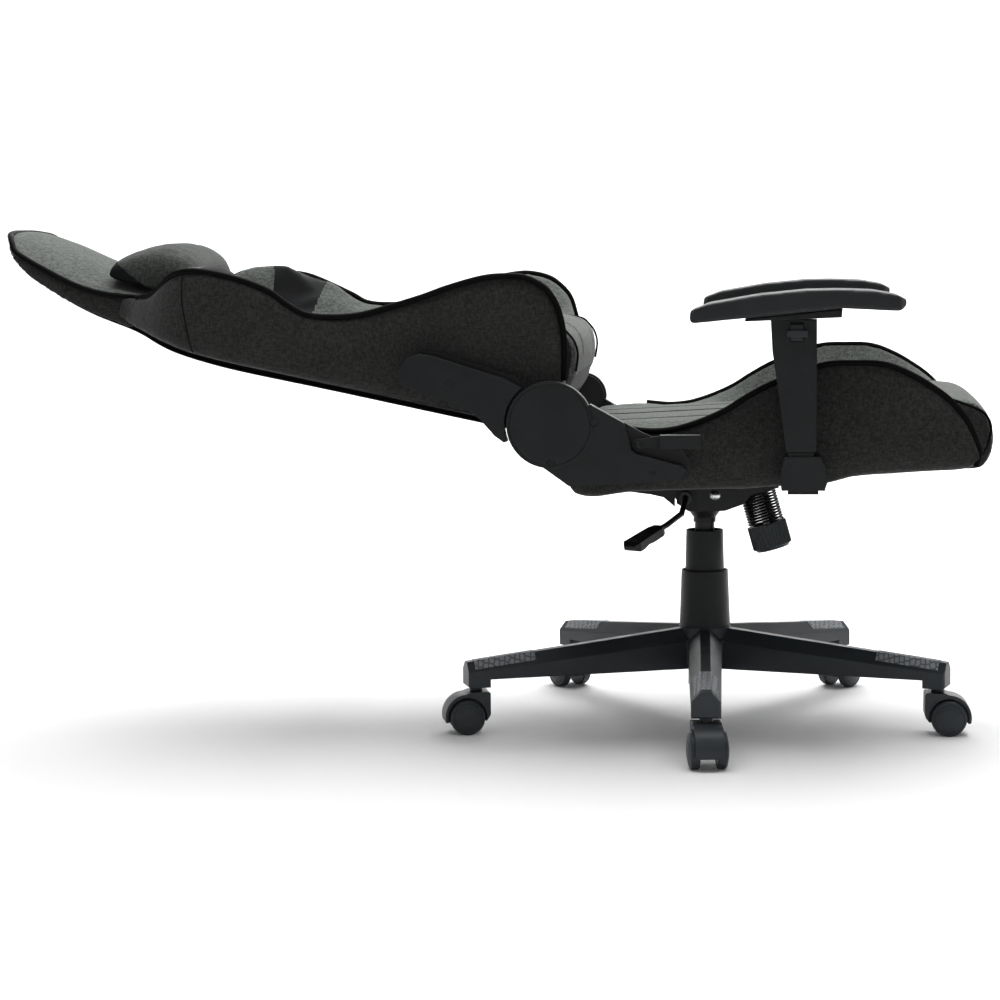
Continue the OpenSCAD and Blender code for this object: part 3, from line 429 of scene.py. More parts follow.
def grained(name, tone, grain, roughness, depth, specular=0.28, sheen=0.0, wear=0.0, edge=0.0):
    # Moulded or coated skin: a fine pebble grain breaks up the gloss, and worn patches shine a little more.
    material, tree, shader = new_material(
        name, {"Roughness": roughness, "Specular IOR Level": specular, "Sheen Weight": sheen}
    )
    place = add(tree, "ShaderNodeTexCoord").outputs["Object"]
    pebble = add(tree, "ShaderNodeTexVoronoi", {"feature": "SMOOTH_F1"}, {"Vector": place, "Scale": 1000 / grain})
    dust = add(tree, "ShaderNodeTexNoise", sockets={"Vector": place, "Scale": 22, "Detail": 4, "Roughness": 0.6})
    gloss = add(
        tree,
        "ShaderNodeMapRange",
        sockets={
            "Value": dust.outputs[0],
            "From Min": 0.3,
            "From Max": 0.7,
            "To Min": roughness - 0.07,
            "To Max": roughness + 0.07,
        },
    )
    tree.links.new(gloss.outputs[0], shader.inputs["Roughness"])
    lift = tuple(min(1, c * (1.35 + wear) + 0.002) for c in tone)
    shade = add(
        tree,
        "ShaderNodeMix",
        {"data_type": "RGBA"},
        {0: dust.outputs[0], 6: (*[c * 0.85 for c in tone], 1), 7: (*lift, 1)},
    )
    tree.links.new(shade.outputs[2], shader.inputs["Base Color"])
    bump = add(tree, "ShaderNodeBump", sockets={"Height": pebble.outputs[0], "Strength": 0.35, "Distance": depth * MM})
    if edge:
        # a rounded edge catches the light as a thin bright line
        soft = add(tree, "ShaderNodeBevel", {"samples": 6}, {"Radius": edge * MM})
        tree.links.new(soft.outputs[0], bump.inputs["Normal"])
    tree.links.new(bump.outputs[0], shader.inputs["Normal"])
    return material


def metal(name, tone, roughness, brushing=0.0):
    # Plated or drawn metal: bright, with faint lines from drawing or turning.
    material, tree, shader = new_material(name, {"Metallic": 1.0, "Roughness": roughness, "Base Color": (*tone, 1)})
    place = add(tree, "ShaderNodeTexCoord").outputs["Object"]
    lines = add(tree, "ShaderNodeMapping", sockets={"Vector": place, "Scale": (900, 900, 60)})
    drawn = add(tree, "ShaderNodeTexNoise", sockets={"Vector": lines.outputs[0], "Scale": 1.0, "Detail": 2})
    gloss = add(
        tree,
        "ShaderNodeMapRange",
        sockets={"Value": drawn.outputs[0], "To Min": roughness - 0.08, "To Max": roughness + 0.12 + brushing},
    )
    tree.links.new(gloss.outputs[0], shader.inputs["Roughness"])
    return material


def treaded(name, tone):
    # Soft elastomer tread: irregular blocks about 7 mm across, matt; its tone, lighter than the leg, is a painted
    # highlight for the reflection on the tread, and the grooves between the blocks are darkened as painted shade.
    material, tree, shader = new_material(name, {"Roughness": 0.6, "Base Color": (*tone, 1), "Sheen Weight": 0.05})
    place = add(tree, "ShaderNodeTexCoord").outputs["Object"]
    turned = add(tree, "ShaderNodeMapping", sockets={"Vector": place, "Scale": (1000 / 7, 1000 / 7, 1)})
    blocks = add(
        tree,
        "ShaderNodeTexVoronoi",
        {"feature": "DISTANCE_TO_EDGE"},
        {"Vector": turned.outputs[0], "Scale": 1.0, "Randomness": 0.35},
    )
    groove_depth_and_shade = add(tree, "ShaderNodeMapRange", sockets={"Value": blocks.outputs[0], "From Min": 0.04, "From Max": 0.16})
    # grooves at a third of the tone: painted shade in the recesses; the same mask also drives the bump
    shade = add(
        tree,
        "ShaderNodeMix",
        {"data_type": "RGBA"},
        {0: groove_depth_and_shade.outputs[0], 6: (*[0.35 * c for c in tone], 1), 7: (*tone, 1)},
    )
    tree.links.new(shade.outputs[2], shader.inputs["Base Color"])
    bump = add(tree, "ShaderNodeBump", sockets={"Height": groove_depth_and_shade.outputs[0], "Strength": 0.8, "Distance": 0.0015})
    tree.links.new(bump.outputs[0], shader.inputs["Normal"])
    return material


def material(name):
    """One of the chair's finishes, made when it is first asked for."""
    found = bpy.data.materials.get(name)
    if found:
        return found
    f, h = fabric(), finish()
    if name == "melange_polyester_woven":
        # threads of 0.6 mm, drawn at 2.4 mm so that the mix of yarns shows
        return woven(name, f.pale, f.pale_deep, 2.4)
    if name == "melange_polyester_painted_shade":
        # the pillow's cover has the same yarns at half the brightness: a darker copy of the seat fabric, as painted
        # shade
        return woven(name, tuple(0.5 * c for c in f.pale), tuple(0.45 * c for c in f.pale_deep), 2.4)
    if name == "charcoal_polyester_woven":
        return woven(name, f.dark, f.dark_deep, 2.4, 0.9)
    if name == "backing_polypropylene_woven":
        return woven(name, f.backing, tuple(0.5 * c for c in f.backing), 2.0)
    if name == "elastic_webbing_woven":
        return woven(name, linear("#2a2b2c"), linear("#141515"), 2.0)
    if name == "polyurethane_leather_embossed":
        return grained(name, f.leather, 2.4, 0.6, 0.25, 0.1)
    if name == "polyurethane_piping_folded":
        return grained(name, f.piping, 2.4, 0.6, 0.15, 0.06)
    if name == "polyester_thread_twisted":
        return grained(name, linear("#080909"), 1.5, 0.8, 0.2, 0.1)
    if name == "glass_filled_nylon_moulded":
        return grained(name, h.nylon, 1.8, 0.42, 0.12, edge=1.8)
    if name == "polypropylene_spark_grained":
        return grained(name, h.cover, 1.8, 0.46, 0.14, edge=2.2)
    if name == "steel_powder_coated":
        return grained(name, h.steel, 2.2, 0.4, 0.1)
    if name == "steel_tube_painted":
        return grained(name, linear("#202224"), 2.6, 0.34, 0.05)
    if name == "polyurethane_foam_skinned":
        return grained(name, h.arm_pad, 1.8, 0.5, 0.16, sheen=0.05)
    if name == "acetal_moulded":
        return grained(name, linear("#d9dad6"), 2.5, 0.4, 0.05)
    if name == "elastomer_tread_painted_light":
        # the pale grey is a painted highlight standing in for the reflection on the grip tops
        return treaded(name, linear("#8b8f93"))
    if name == "steel_zinc_plated":
        return metal(name, linear("#b9bcbe"), 0.34)
    if name == "steel_chrome_plated":
        return metal(name, linear("#d8dadb"), 0.14)
    if name == "spring_wire_drawn":
        return metal(name, linear("#1d1e20"), 0.42)
    raise ValueError(f"no finish is called {name}")


SLOT_FINISH = {
    "nylon_black": "glass_filled_nylon_moulded",
    "rubber_grip": "elastomer_tread_painted_light",
    "steel_black": "steel_powder_coated",
    "steel_zinc": "steel_zinc_plated",
    "chrome_pin": "steel_chrome_plated",
    "gas_tube": "steel_tube_painted",
    "cover_plastic": "polypropylene_spark_grained",
    "bush_white": "acetal_moulded",
    "spring_steel": "spring_wire_drawn",
    "fabric_center": "melange_polyester_woven",
    "fabric_side": "charcoal_polyester_woven",
    "webbing": "elastic_webbing_woven",
    "back_cloth": "backing_polypropylene_woven",
    "arm_pu": "polyurethane_foam_skinned",
}

# the studio camera: sensor width, focal length in picture widths, place in metres, and yaw, pitch and roll in degrees
SENSOR_MM, FOCAL_WIDTHS = 36, 2.702
CAMERA_AT, CAMERA_TURN = (0.1166, -3.816, 0.7114), (6.103, 5.908, -0.564)

PALE, DARK = "melange_polyester_woven", "charcoal_polyester_woven"
LEATHER, PIPING, THREAD = "polyurethane_leather_embossed", "polyurethane_piping_folded", "polyester_thread_twisted"

# ---------- profiles of the upholstery, in millimetres ----------

# seat bolster along the seat: x, bottom, crest
SEAT_WING = [
    (-175, 362, 422), (-168, 349, 430), (-140, 344, 434), (-95, 350, 436), (-60, 352, 433), (-29, 353, 436),
    (3.5, 354, 446), (36, 355, 460.5), (64, 355, 478), (99, 358, 496.5), (160, 360, 519), (205, 371, 522),
    (242, 374, 520), (274, 376, 508), (303, 378, 491), (328, 379, 472), (348, 381, 448), (357, 383, 430),
    (363, 387, 414), (366, 394, 404),
]
# seat cushion along the seat: x, bottom, top
SEAT_MIDDLE = [
    (-166, 384, 424), (-159, 382, 432), (-100, 382, 435), (0, 382, 440), (60, 382, 443), (150, 393, 451),
    (268, 394, 464), (313, 394, 471), (334, 380, 473), (350, 377, 472), (362, 377, 469), (374, 380, 461),
    (382, 390, 450), (387, 402, 438), (389, 415, 425),
]
# back bolster up the back: u, rear, crest
BACK_WING = [
    (-4, 32, 52), (-2, 18, 66), (3, 4, 94), (10, -8, 119.5), (20, -15, 142), (32, -16, 159), (48, -16, 172.5),
    (75, -16, 179.5), (103, -16, 175.5), (132, -16, 166), (173, -16, 144), (202, -16, 126), (242, -16, 104),
    (282, -16, 84), (303, -16, 77), (323, -16, 73), (352, -16, 70.5), (378, -16, 78), (406, -16, 90),
    (440, -16, 96), (477, -15, 98), (507, -13, 96), (529, -10, 90), (545, -8, 80), (560, -6, 63), (574, -4, 48),
    (590, -3, 41), (606, -1, 38), (628, 2, 34),
]
# the wing on the lever's far side stands a little further up the back
FAR_WING = [
    (-4, 32, 52), (8, 2, 70), (18, -12, 88), (27, -15, 104), (35, -16, 119), (48, -16, 142), (65, -16, 156),
    (87, -16, 165), (118, -16, 165), (147, -16, 156), (173, -16, 143), (202, -16, 126), (242, -16, 104),
    (282, -16, 84), (303, -16, 77), (323, -16, 73), (352, -16, 70.5), (378, -16, 78), (406, -16, 90),
    (440, -16, 91), (477, -15, 90), (507, -13, 88), (529, -10, 82), (545, -8, 74), (560, -6, 61), (574, -4, 48),
    (590, -3, 41), (606, -1, 38), (628, 2, 34),
]
# outer and inner edge of the back bolsters: u, outer, inner
BACK_PLAN = [(-4, 266, 200), (20, 267, 199), (100, 267, 197), (240, 267.5, 197), (330, 271, 197), (480, 271, 197), (505, 270, 197), (520, 266, 196),
             (535, 257, 193), (550, 244, 187), (565, 227, 180), (580, 208, 170), (594, 189, 161), (606, 172, 154),
             (618, 160, 151), (628, 154, 150)]
# how far the front of the shoulder stands above its piping: u, height
SHOULDER_CROWN = [(400, 0), (425, 0), (440, 3), (457, 7), (479, 10), (500, 9), (515, 8), (530, 8), (545, 6), (560, 3),
                  (575, 0), (640, 0)]
# back cushion and head up the back: u, rear, rear edge, front edge, middle, half width
BACK_MIDDLE = [
    (-12, 62, 62, 74, 88, 172), (-9, 52, 52, 86, 98, 180), (-4, 30, 30, 100, 110, 186), (2, 18, 18, 108, 117, 190),
    (12, 10, 10, 116, 123, 193), (25, 9, 9, 120, 126, 194), (45, 9, 9, 119, 126, 194), (70, 9, 9, 115, 124, 194),
    (112, 9, 9, 106, 117, 194), (130, 9, 9, 99, 112, 194), (200, 9, 9, 78, 92, 194), (280, 10, 10, 56, 70, 194),
    (360, 10, 10, 40, 52, 194), (450, 11, 11, 37, 46, 194), (520, 12, 12, 38, 47, 193), (535, 12, 12, 38, 47, 190),
    (550, 12, 10, 38, 47, 184), (565, 12, 8, 38, 48, 177), (580, 13, 4, 37, 48, 167), (594, 13, 0, 37, 49, 158),
    (606, 15, -7, 36, 51, 152), (625, 18, -5, 34, 54, 150), (652, 22, -1, 32, 60, 150), (675, 26, 2, 33, 66, 150),
    (708, 34, 12, 37, 73, 149), (742, 44, 24, 47, 80, 148), (765, 51, 34, 53, 83, 146), (779, 56, 41, 57, 85, 142),
    (792, 61, 50, 64, 86, 135), (803, 65, 58, 72, 86, 121), (812, 69, 65, 77, 85, 97), (818, 73, 71, 79, 84, 68),
    (822, 76, 76, 80, 83, 38),
]
# piping from the foot of the back round the head: u, out, across
BACK_PIPING = [
    (-3, 58, 262), (3, 94, 263), (10, 120, 263), (20, 143, 263), (32, 160, 263), (48, 173, 263), (75, 180, 263),
    (103, 176, 263), (132, 166.5, 263), (173, 145, 263), (202, 127, 263), (242, 105, 263), (282, 85, 263),
    (323, 74, 263), (352, 71.5, 263), (378, 79, 263), (406, 91, 263), (440, 97, 263), (477, 99, 263),
    (507, 97, 262), (529, 91, 256), (545, 81, 243), (560, 64, 224), (574, 49, 206), (594, 40, 179), (612, 36, 156),
    (652, 32, 151), (694, 35, 150), (745, 48, 148), (775, 57, 144), (790, 63, 137), (799, 72, 127), (807, 78, 110),
    (815, 80, 84), (820, 81, 50), (822, 81, 18),
]
FAR_PIPING = [(8, 70, 262), (18, 88, 263), (27, 105, 263), (35, 120, 263), (48, 143, 263), (65, 157, 263),
              (87, 166, 263), (118, 166, 263), (147, 157, 263)] + BACK_PIPING[9:16] + [
    (440, 92, 263), (477, 91, 263), (507, 89, 262), (529, 83, 256), (545, 75, 243), (560, 62, 224)] + BACK_PIPING[22:]
# back panel up the back: u, out, half width
BACK_BOARD = [(24, -22, 238), (120, -22.5, 240), (300, -23, 240), (430, -24, 240), (495, -21, 238), (535, -17, 224),
              (565, -13, 190), (590, -10, 158), (608, -8, 146), (675, 3, 140), (741, 25, 139), (778, 40, 132),
              (796, 53, 112)]


def wing_ring(outer, inner, low, high, shelf, floor, crown):
    """One cross-section of a back bolster, as pairs of across and out."""
    width = outer - inner
    k = min(1.0, width / 72)
    high = max(high, low + 6)
    inner_top = min(shelf, high - 3)
    inner_low = min(max(floor, low + 1), inner_top - 2)
    drop = high - inner_top
    return [
        (inner, inner_low), (inner + 26 * k, inner_low), (inner + 27 * k, low + 1), (outer - 30 * k, low),
        (outer - 11 * k, low + 3), (outer - 3 * k, low + 0.14 * (high - low)), (outer, low + 0.4 * (high - low)),
        (outer - 0.5 * k, low + 0.7 * (high - low)), (outer - 3 * k, high - 0.08 * (high - low)),
        (outer - 8 * k, high), (outer - 18 * k, high - 1 + 0.8 * crown),
        (outer - 38 * k, high + 1.3 * crown - 0.34 * drop * (1 - 0.1 * crown)),
        (outer - 56 * k, high - drop * (0.78 - 0.03 * crown)), (inner, inner_top),
    ]


def held_by(obj, paths, reach, rest):
    """How firmly each point is held: fully on a seam or where rest says so, half close to a seam."""
    co = coords(obj)
    near = np.min([distance_to(p, co) for p in paths], axis=0)
    held = np.where(near < reach, 1.0, np.where(near < 2 * reach, 0.5, 0.0))
    held[rest(co)] = 1.0
    return held


def back_local(co):
    """Up-the-back, out-of-the-front coordinates of points in millimetres."""
    a = form().back_angle
    dx, dz = co[:, 0] - HINGE[0], co[:, 2] - HINGE[2]
    return -dx * math.cos(a) + dz * math.sin(a), dx * math.sin(a) + dz * math.cos(a)


def back_path(rows, side):
    return [back_point(u, n, side * y) for u, n, y in rows]


# ---------- operators ----------


class CHAIR_OT_hard_parts(bpy.types.Operator):
    """Gives each hard part of the frame its finish"""

    bl_idname = "chair.hard_parts"
    bl_label = "Finish hard parts"

    def execute(self, context):
        for part in frame["record"]["subparts"]:
            obj = frame["nodes"][part["node"]]
            made = material(SLOT_FINISH[part["material_slot"]])
            obj.data.materials.clear()
            obj.data.materials.append(made)
        return {"FINISHED"}


class CHAIR_OT_seat_cushion(bpy.types.Operator):
    """Builds the middle cushion of the seat"""

    bl_idname = "chair.seat_cushion"
    bl_label = "Seat cushion"

    def execute(self, context):
        shape = table(SEAT_MIDDLE)
        rings = []
        for x in np.concatenate([np.linspace(-166, 300, 40), np.linspace(308, 389, 24)]):
            low, top = shape(x)
            half = 203 - 3 * max(0, (x - 340) / 49) ** 2
            edge = max(low + 2, top - 4)
            ring = [(-half, low), (-half, 0.5 * (low + edge)), (-half + 1, edge - 3), (-half + 7, edge)]
            ring += [(y, top - 4 * (abs(y) / half) ** 2.5 + (3 if x < 330 else 1)) for y in np.linspace(-half + 24, half - 24, 13)]
            ring += [(half - 7, edge), (half - 1, edge - 3), (half, 0.5 * (low + edge)), (half, low)]
            ring += [(y, low) for y in np.linspace(half - 20, -half + 20, 9)]
            rings.append([(x, y, z) for y, z in ring])
        obj = remeshed(lofted("seat_cushion_cover", rings), form().voxel)
        front = [(300, 469), (330, 471), (356, 462.6), (376, 453), (385.5, 436), (383, 416), (368, 381)]
        edges = [[(x - 1, s * 199, z - 1) for x, z in front] for s in (-1, 1)]
        channels = [[(x, y, shape(x)[1]) for x in (-150, -60, 0, 60, 150, 268, 320)] for y in (-100, 6, 112)]
        held = held_by(obj, edges + channels, 5, lambda co: (co[:, 2] < 398) | (np.abs(co[:, 1]) > 199))
        swollen(obj, held, form().swell)
        subdivided(obj)
        for path in channels:
            sewn(obj, path, width=9)
        for path in edges:
            sewn(obj, path, 1.5)
        painted(obj, [material(PALE), material(DARK)], lambda c, n: (np.abs(n[:, 1]) > 0.72) | (n[:, 2] < -0.6))
        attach(obj, "seat")
        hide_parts("seat_cushion")
        for i, path in enumerate(channels):
            line = laid_on(obj, path, (0, 0, -1), 0.2, 10)
            cord_on(f"seat_channel_stitch_{i + 1}", line, 1.9, material(THREAD), "seat", smooth=False)
        for i, path in enumerate(edges):
            cord_on(f"seat_front_seam_{i + 1}", path, 1.8, material(PIPING), "seat")
        return {"FINISHED"}


class CHAIR_OT_seat_bolsters(bpy.types.Operator):
    """Builds the raised sides of the seat"""

    bl_idname = "chair.seat_bolsters"
    bl_label = "Seat bolsters"

    def execute(self, context):
        wing, middle = table(SEAT_WING), table(SEAT_MIDDLE)
        for name, side in SIDES.items():
            rings = []
            for x in np.concatenate([np.linspace(-175, 320, 46), np.linspace(328, 366, 18)]):
                low, top = wing(x)
                top = max(top, low + 8)
                shelf = min(middle(min(x, 380))[1] - 3, top - 2)
                mid = max(min(397, shelf - 4), low + 3)
                ring = [
                    (206, max(shelf - 8, mid)), (206, mid), (228, mid - 1), (229, low + 1), (246, low),
                    (258, low + 3), (264, low + 0.14 * (top - low)), (267, low + 0.4 * (top - low)),
                    (267, low + 0.66 * (top - low)), (264, top - 0.09 * (top - low)), (259, top),
                    (251, top - 1), (238, top - 0.3 * (top - shelf)), (221, top - 0.78 * (top - shelf)), (207, shelf),
                ]
                rings.append([(x, side * y, z) for y, z in ring])
            obj = remeshed(lofted(f"seat_bolster_{name}", rings), form().voxel)
            edge = [(x, side * 260, z) for x, _, z in SEAT_WING[3:]] + [(362, side * 259, 386)]
            held = held_by(obj, [edge], 6, lambda co: (np.abs(co[:, 1]) < 230) & (co[:, 2] < 400) | (co[:, 2] < 356))
            swollen(obj, held, form().swell)
            subdivided(obj)
            painted(
                obj,
                [material(DARK), material(PALE)],
                lambda c, n, s=side, e=table([(x, z) for x, _, z in SEAT_WING]): (
                    (s * c[:, 1] < 258) & (n[:, 2] > 0.05) & (c[:, 2] > 400)
                ),
            )
            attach(obj, "seat")
            cord_on(f"seat_piping_{name}", edge, form().piping_r, material(PIPING), "seat")
            if side < 0:
                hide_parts("seat_bolsters")
        return {"FINISHED"}


class CHAIR_OT_back_cushion(bpy.types.Operator):
    """Builds the middle of the back with its head part"""

    bl_idname = "chair.back_cushion"
    bl_label = "Back cushion"

    def execute(self, context):
        shape = table(BACK_MIDDLE)
        rings = []
        for u in np.concatenate([np.linspace(-12, 30, 16), np.linspace(44, 760, 74), np.linspace(768, 822, 22)]):
            rear, rear_edge, front, middle, half = shape(u)
            wall = min(9, 0.2 * half)
            ring = [(y, rear) for y in np.linspace(-half + wall + 6, half - wall - 6, 11)]
            ring += [(half - wall, rear_edge + 1), (half - wall + 2, rear_edge)]
            ring += [(half - 3, rear_edge), (half - 0.5, rear_edge + 2)]
            ring += [(half, 0.5 * (rear_edge + front)), (half, front - 1), (half - 3, front + 1)]
            share = np.linspace(1, -1, 19)[1:-1]
            ring += [(half * t, front + (middle - front) * (1 - abs(t) ** 2.6)) for t in share]
            ring += [(-half + 3, front + 1), (-half, front - 1), (-half, 0.5 * (rear_edge + front))]
            ring += [(-half + 0.5, rear_edge + 2), (-half + 3, rear_edge)]
            ring += [(-half + wall - 2, rear_edge), (-half + wall, rear_edge + 1)]
            rings.append([back_point(u, n, y) for y, n in ring])
        obj = remeshed(lofted("back_cushion_cover", rings), form().voxel)
        seam_u = (-11, -4, 12, 25, 70, 130, 200, 360, 500)
        seam_spread = (0.96, 0.98, 1, 1, 1, 1, 0.98, 0.95, 0.95)
        seams = [[(u, shape(u)[3] - 2, y * k) for u, k in zip(seam_u, seam_spread)] for y in (-96, 96)]
        seams = [[back_point(*row) for row in rows] for rows in seams]
        edges = [back_path(BACK_PIPING[24:], s) for s in (-1, 1)]
        foot = ((60, 118), (22, 121), (8, 115), (-3, 105), (-10, 90), (-12, 68))
        low_edge = [[back_point(u, n, s * 187) for u, n in foot] for s in (-1, 1)]

        def rest(co):
            u, n = back_local(co)
            return (n < np.array([shape(v)[0] for v in np.clip(u, -9, 822)]) + 6) | ((np.abs(co[:, 1]) > 186) & (u > 40))

        held = held_by(obj, seams + edges + low_edge, 6, rest)
        swollen(obj, held, form().swell)
        subdivided(obj)
        for path in seams + low_edge:
            sewn(obj, path, width=9)

        def cloth(c, n):
            side = (np.abs(n[:, 1]) > 0.75) & (np.abs(c[:, 1]) > 120)
            return np.where(side | (n[:, 2] < -0.35), 1, 0)

        painted(obj, [material(PALE), material(DARK)], cloth)
        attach(obj, "back")
        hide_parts("back_cushion")
        for i, path in enumerate(seams):
            line = laid_on(obj, path[4:], (0, 0, -1), 0.2, 8)
            cord_on(f"back_channel_stitch_{i + 1}", line, 1.2, material(THREAD), "back", smooth=False)
        for i, path in enumerate(low_edge):
            cord_on(f"back_foot_seam_{i + 1}", path, 1.6, material(THREAD), "back")
        return {"FINISHED"}


class CHAIR_OT_back_bolsters(bpy.types.Operator):
    """Builds the sides of the back with their shoulder inserts and the piping round the whole back"""

    bl_idname = "chair.back_bolsters"
    bl_label = "Back bolsters"

    def execute(self, context):
        plan, middle, crown = table(BACK_PLAN), table(BACK_MIDDLE), table(SHOULDER_CROWN)
        for name, side in SIDES.items():
            wing = table(BACK_WING if side < 0 else FAR_WING)
            rings = []
            for u in np.concatenate([np.linspace(-4, 60, 22), np.linspace(70, 520, 46), np.linspace(526, 628, 22)]):
                rear, crest = wing(u)
                outer, inner = plan(u)
                shelf = middle(u)[2] - 2
                rings.append([back_point(u, n, side * y) for y, n in wing_ring(outer, inner, rear, crest, shelf, 9, crown(u)[0])])
            obj = remeshed(lofted(f"back_bolster_{name}", rings), form().voxel)
            rows = BACK_PIPING if side < 0 else FAR_PIPING
            edge = back_path(rows[:27], side)
            seam_rows = ((525, 86, 268), (518, 54, 271), (502, 14, 271), (490, -14, 268))
            seam = [back_point(u, n, side * y) for u, n, y in seam_rows]

            def rest(co):
                u, n = back_local(co)
                outside = (np.abs(co[:, 1]) > 258) & (u < 275) & (n < 110)
                return (n < -8) | (np.abs(co[:, 1]) < 204) | outside | (u > 560)

            held = held_by(obj, [edge, seam], 6, rest)
            swollen(obj, held, form().swell)
            subdivided(obj)
            sewn(obj, seam, 1.8, 6)

            def cloth(c, n, s=side):
                u, out = back_local(c)
                y = s * c[:, 1]
                a = form().back_angle
                facing = n[:, 2] * math.cos(a) + n[:, 0] * math.sin(a)
                edge = np.interp(u, [r[0] for r in BACK_PLAN], [r[1] for r in BACK_PLAN]) - 8
                front = (facing > 0.3) & (y < edge) & (u < 585)
                band = (y > 225) & (out < -7 - 0.02 * u) & (u < 486)
                upper = 512 - 0.45 * (268 - y)
                lower = 414 + 0.1 * (268 - y)
                insert = front & (u < upper) & (u > lower)
                return np.where(insert | band, 2, np.where(front, 1, 0))

            painted(obj, [material(DARK), material(PALE), material(LEATHER)], cloth)
            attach(obj, "back")
            line = laid_on(obj, seam, (0, -side, 0), 0.1, 8)
            cord_on(f"back_side_stitch_{name}", line, 0.9, material(THREAD), "back", smooth=False)
            if side < 0:
                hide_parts("back_bolsters")
        whole = back_path(BACK_PIPING, -1) + back_path(FAR_PIPING, 1)[::-1]
        cord_on("back_piping", whole, form().piping_r, material(PIPING), "back")
        return {"FINISHED"}


class CHAIR_OT_back_board(bpy.types.Operator):
    """Builds the cloth-covered board on the rear of the back"""

    bl_idname = "chair.back_board"
    bl_label = "Back board"

    def execute(self, context):
        shape = table(BACK_BOARD)
        rings = []
        for u in np.linspace(24, 796, 60):
            out, half = shape(u)
            across = np.linspace(-1, 1, 15)
            outer = [(half * t, out + 2.5 * abs(t) ** 3) for t in across]
            inner = [(half * t * 0.995, out + 5.2) for t in across[::-1]]
            rings.append([back_point(u, n, y) for y, n in outer + inner])
        obj = subdivided(lofted("back_board_cover", rings), 1)
        painted(obj, [material("backing_polypropylene_woven")], lambda c, n: np.zeros(len(c)))
        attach(obj, "back")
        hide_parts("back_panel")
        for name, side in SIDES.items():
            hem = [back_point(u, shape(u)[0] + 2, side * (shape(u)[1] - 1)) for u in np.linspace(24, 790, 30)]
            cord_on(f"back_board_welt_{name}", hem, 2.2, material(PIPING), "back")
        return {"FINISHED"}


class CHAIR_OT_head_pillow(bpy.types.Operator):
    """Builds the head pillow"""

    bl_idname = "chair.head_pillow"
    bl_label = "Head pillow"

    def execute(self, context):
        outline = np.array(
            [(54, 548), (64, 538), (84, 536), (100, 543), (111, 560), (114, 588), (107, 612), (95, 634), (80, 652),
             (66, 656), (56, 650), (52, 600)],
            float,
        )
        centre = np.array([68.0, 601.0])
        closed = through(np.vstack([outline, outline[:1]]), 3)[:-1]
        rings = []
        for y, across, out in (
            (-133, 0.94, 0.5), (-130, 0.98, 0.66), (-122, 1, 0.8), (-104, 1, 0.93), (-74, 1, 1), (-36, 1, 1.02),
            (0, 1, 1.02), (36, 1, 1.02), (74, 1, 1), (104, 1, 0.93), (122, 1, 0.8), (130, 0.98, 0.66),
            (133, 0.94, 0.5),
        ):
            ring = []
            for n, u in closed:
                up = 50 + (n - 50) * out
                ring.append(back_point(centre[1] + (u - centre[1]) * across, up, y))
            rings.append(ring)
        obj = remeshed(lofted("head_pillow_cover", rings), 4.0, 1)
        ends = []
        for s in (-1, 1):
            rim = [(652, 76), (640, 70), (622, 64), (608, 58), (600, 52)]
            ends.append([back_point(u, n, s * 121) for u, n in rim])
        held = held_by(obj, ends, 4, lambda co: back_local(co)[1] < 54)
        swollen(obj, held, 4, 2)
        subdivided(obj)
        for path in ends:
            sewn(obj, path, 2.5, 6)
        creases = [
            [back_point(u, n, y) for u, n, y in rows]
            for rows in (
                ((604, 112, -112), (607, 108, -80), (603, 112, -52)),
                ((625, 101, -116), (621, 105, -92), (626, 100, -70)),
                ((585, 112, 108), (590, 112, 76), (586, 112, 50)),
                ((566, 105, -104), (571, 108, -74), (569, 107, -40)),
            )
        ]
        for path in creases:
            sewn(obj, path, 2.2, 14)

        def cloth(c, n):
            u, out = back_local(c)
            below = out < 50 + (u - 596) * 0.5
            return np.where((np.abs(c[:, 1]) > 112) & (np.abs(n[:, 1]) > 0.3) & below, 1, 0)

        # the pillow takes the darker copy of the seat fabric, as painted shade
        painted(obj, [material("melange_polyester_painted_shade"), material(LEATHER)], cloth)
        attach(obj, "back")
        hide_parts("head_pillow")
        return {"FINISHED"}


class CHAIR_OT_arm_pads(bpy.types.Operator):
    """Builds the foamed arm pads with softened edges"""

    bl_idname = "chair.arm_pads"
    bl_label = "Arm pads"

    def execute(self, context):
        for name in SIDES:
            node = frame["nodes"][f"arm_pad_{name}"]
            obj = bpy.data.objects.new(f"arm_pad_skin_{name}", node.data.copy())
            context.scene.collection.objects.link(obj)
            remeshed(obj, 2.6, 4)
            subdivided(obj)
            painted(obj, [material("polyurethane_foam_skinned")], lambda c, n: np.zeros(len(c)))
            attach(obj, f"arm_{name}")
            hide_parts(f"arm_pad_{name}")
        return {"FINISHED"}


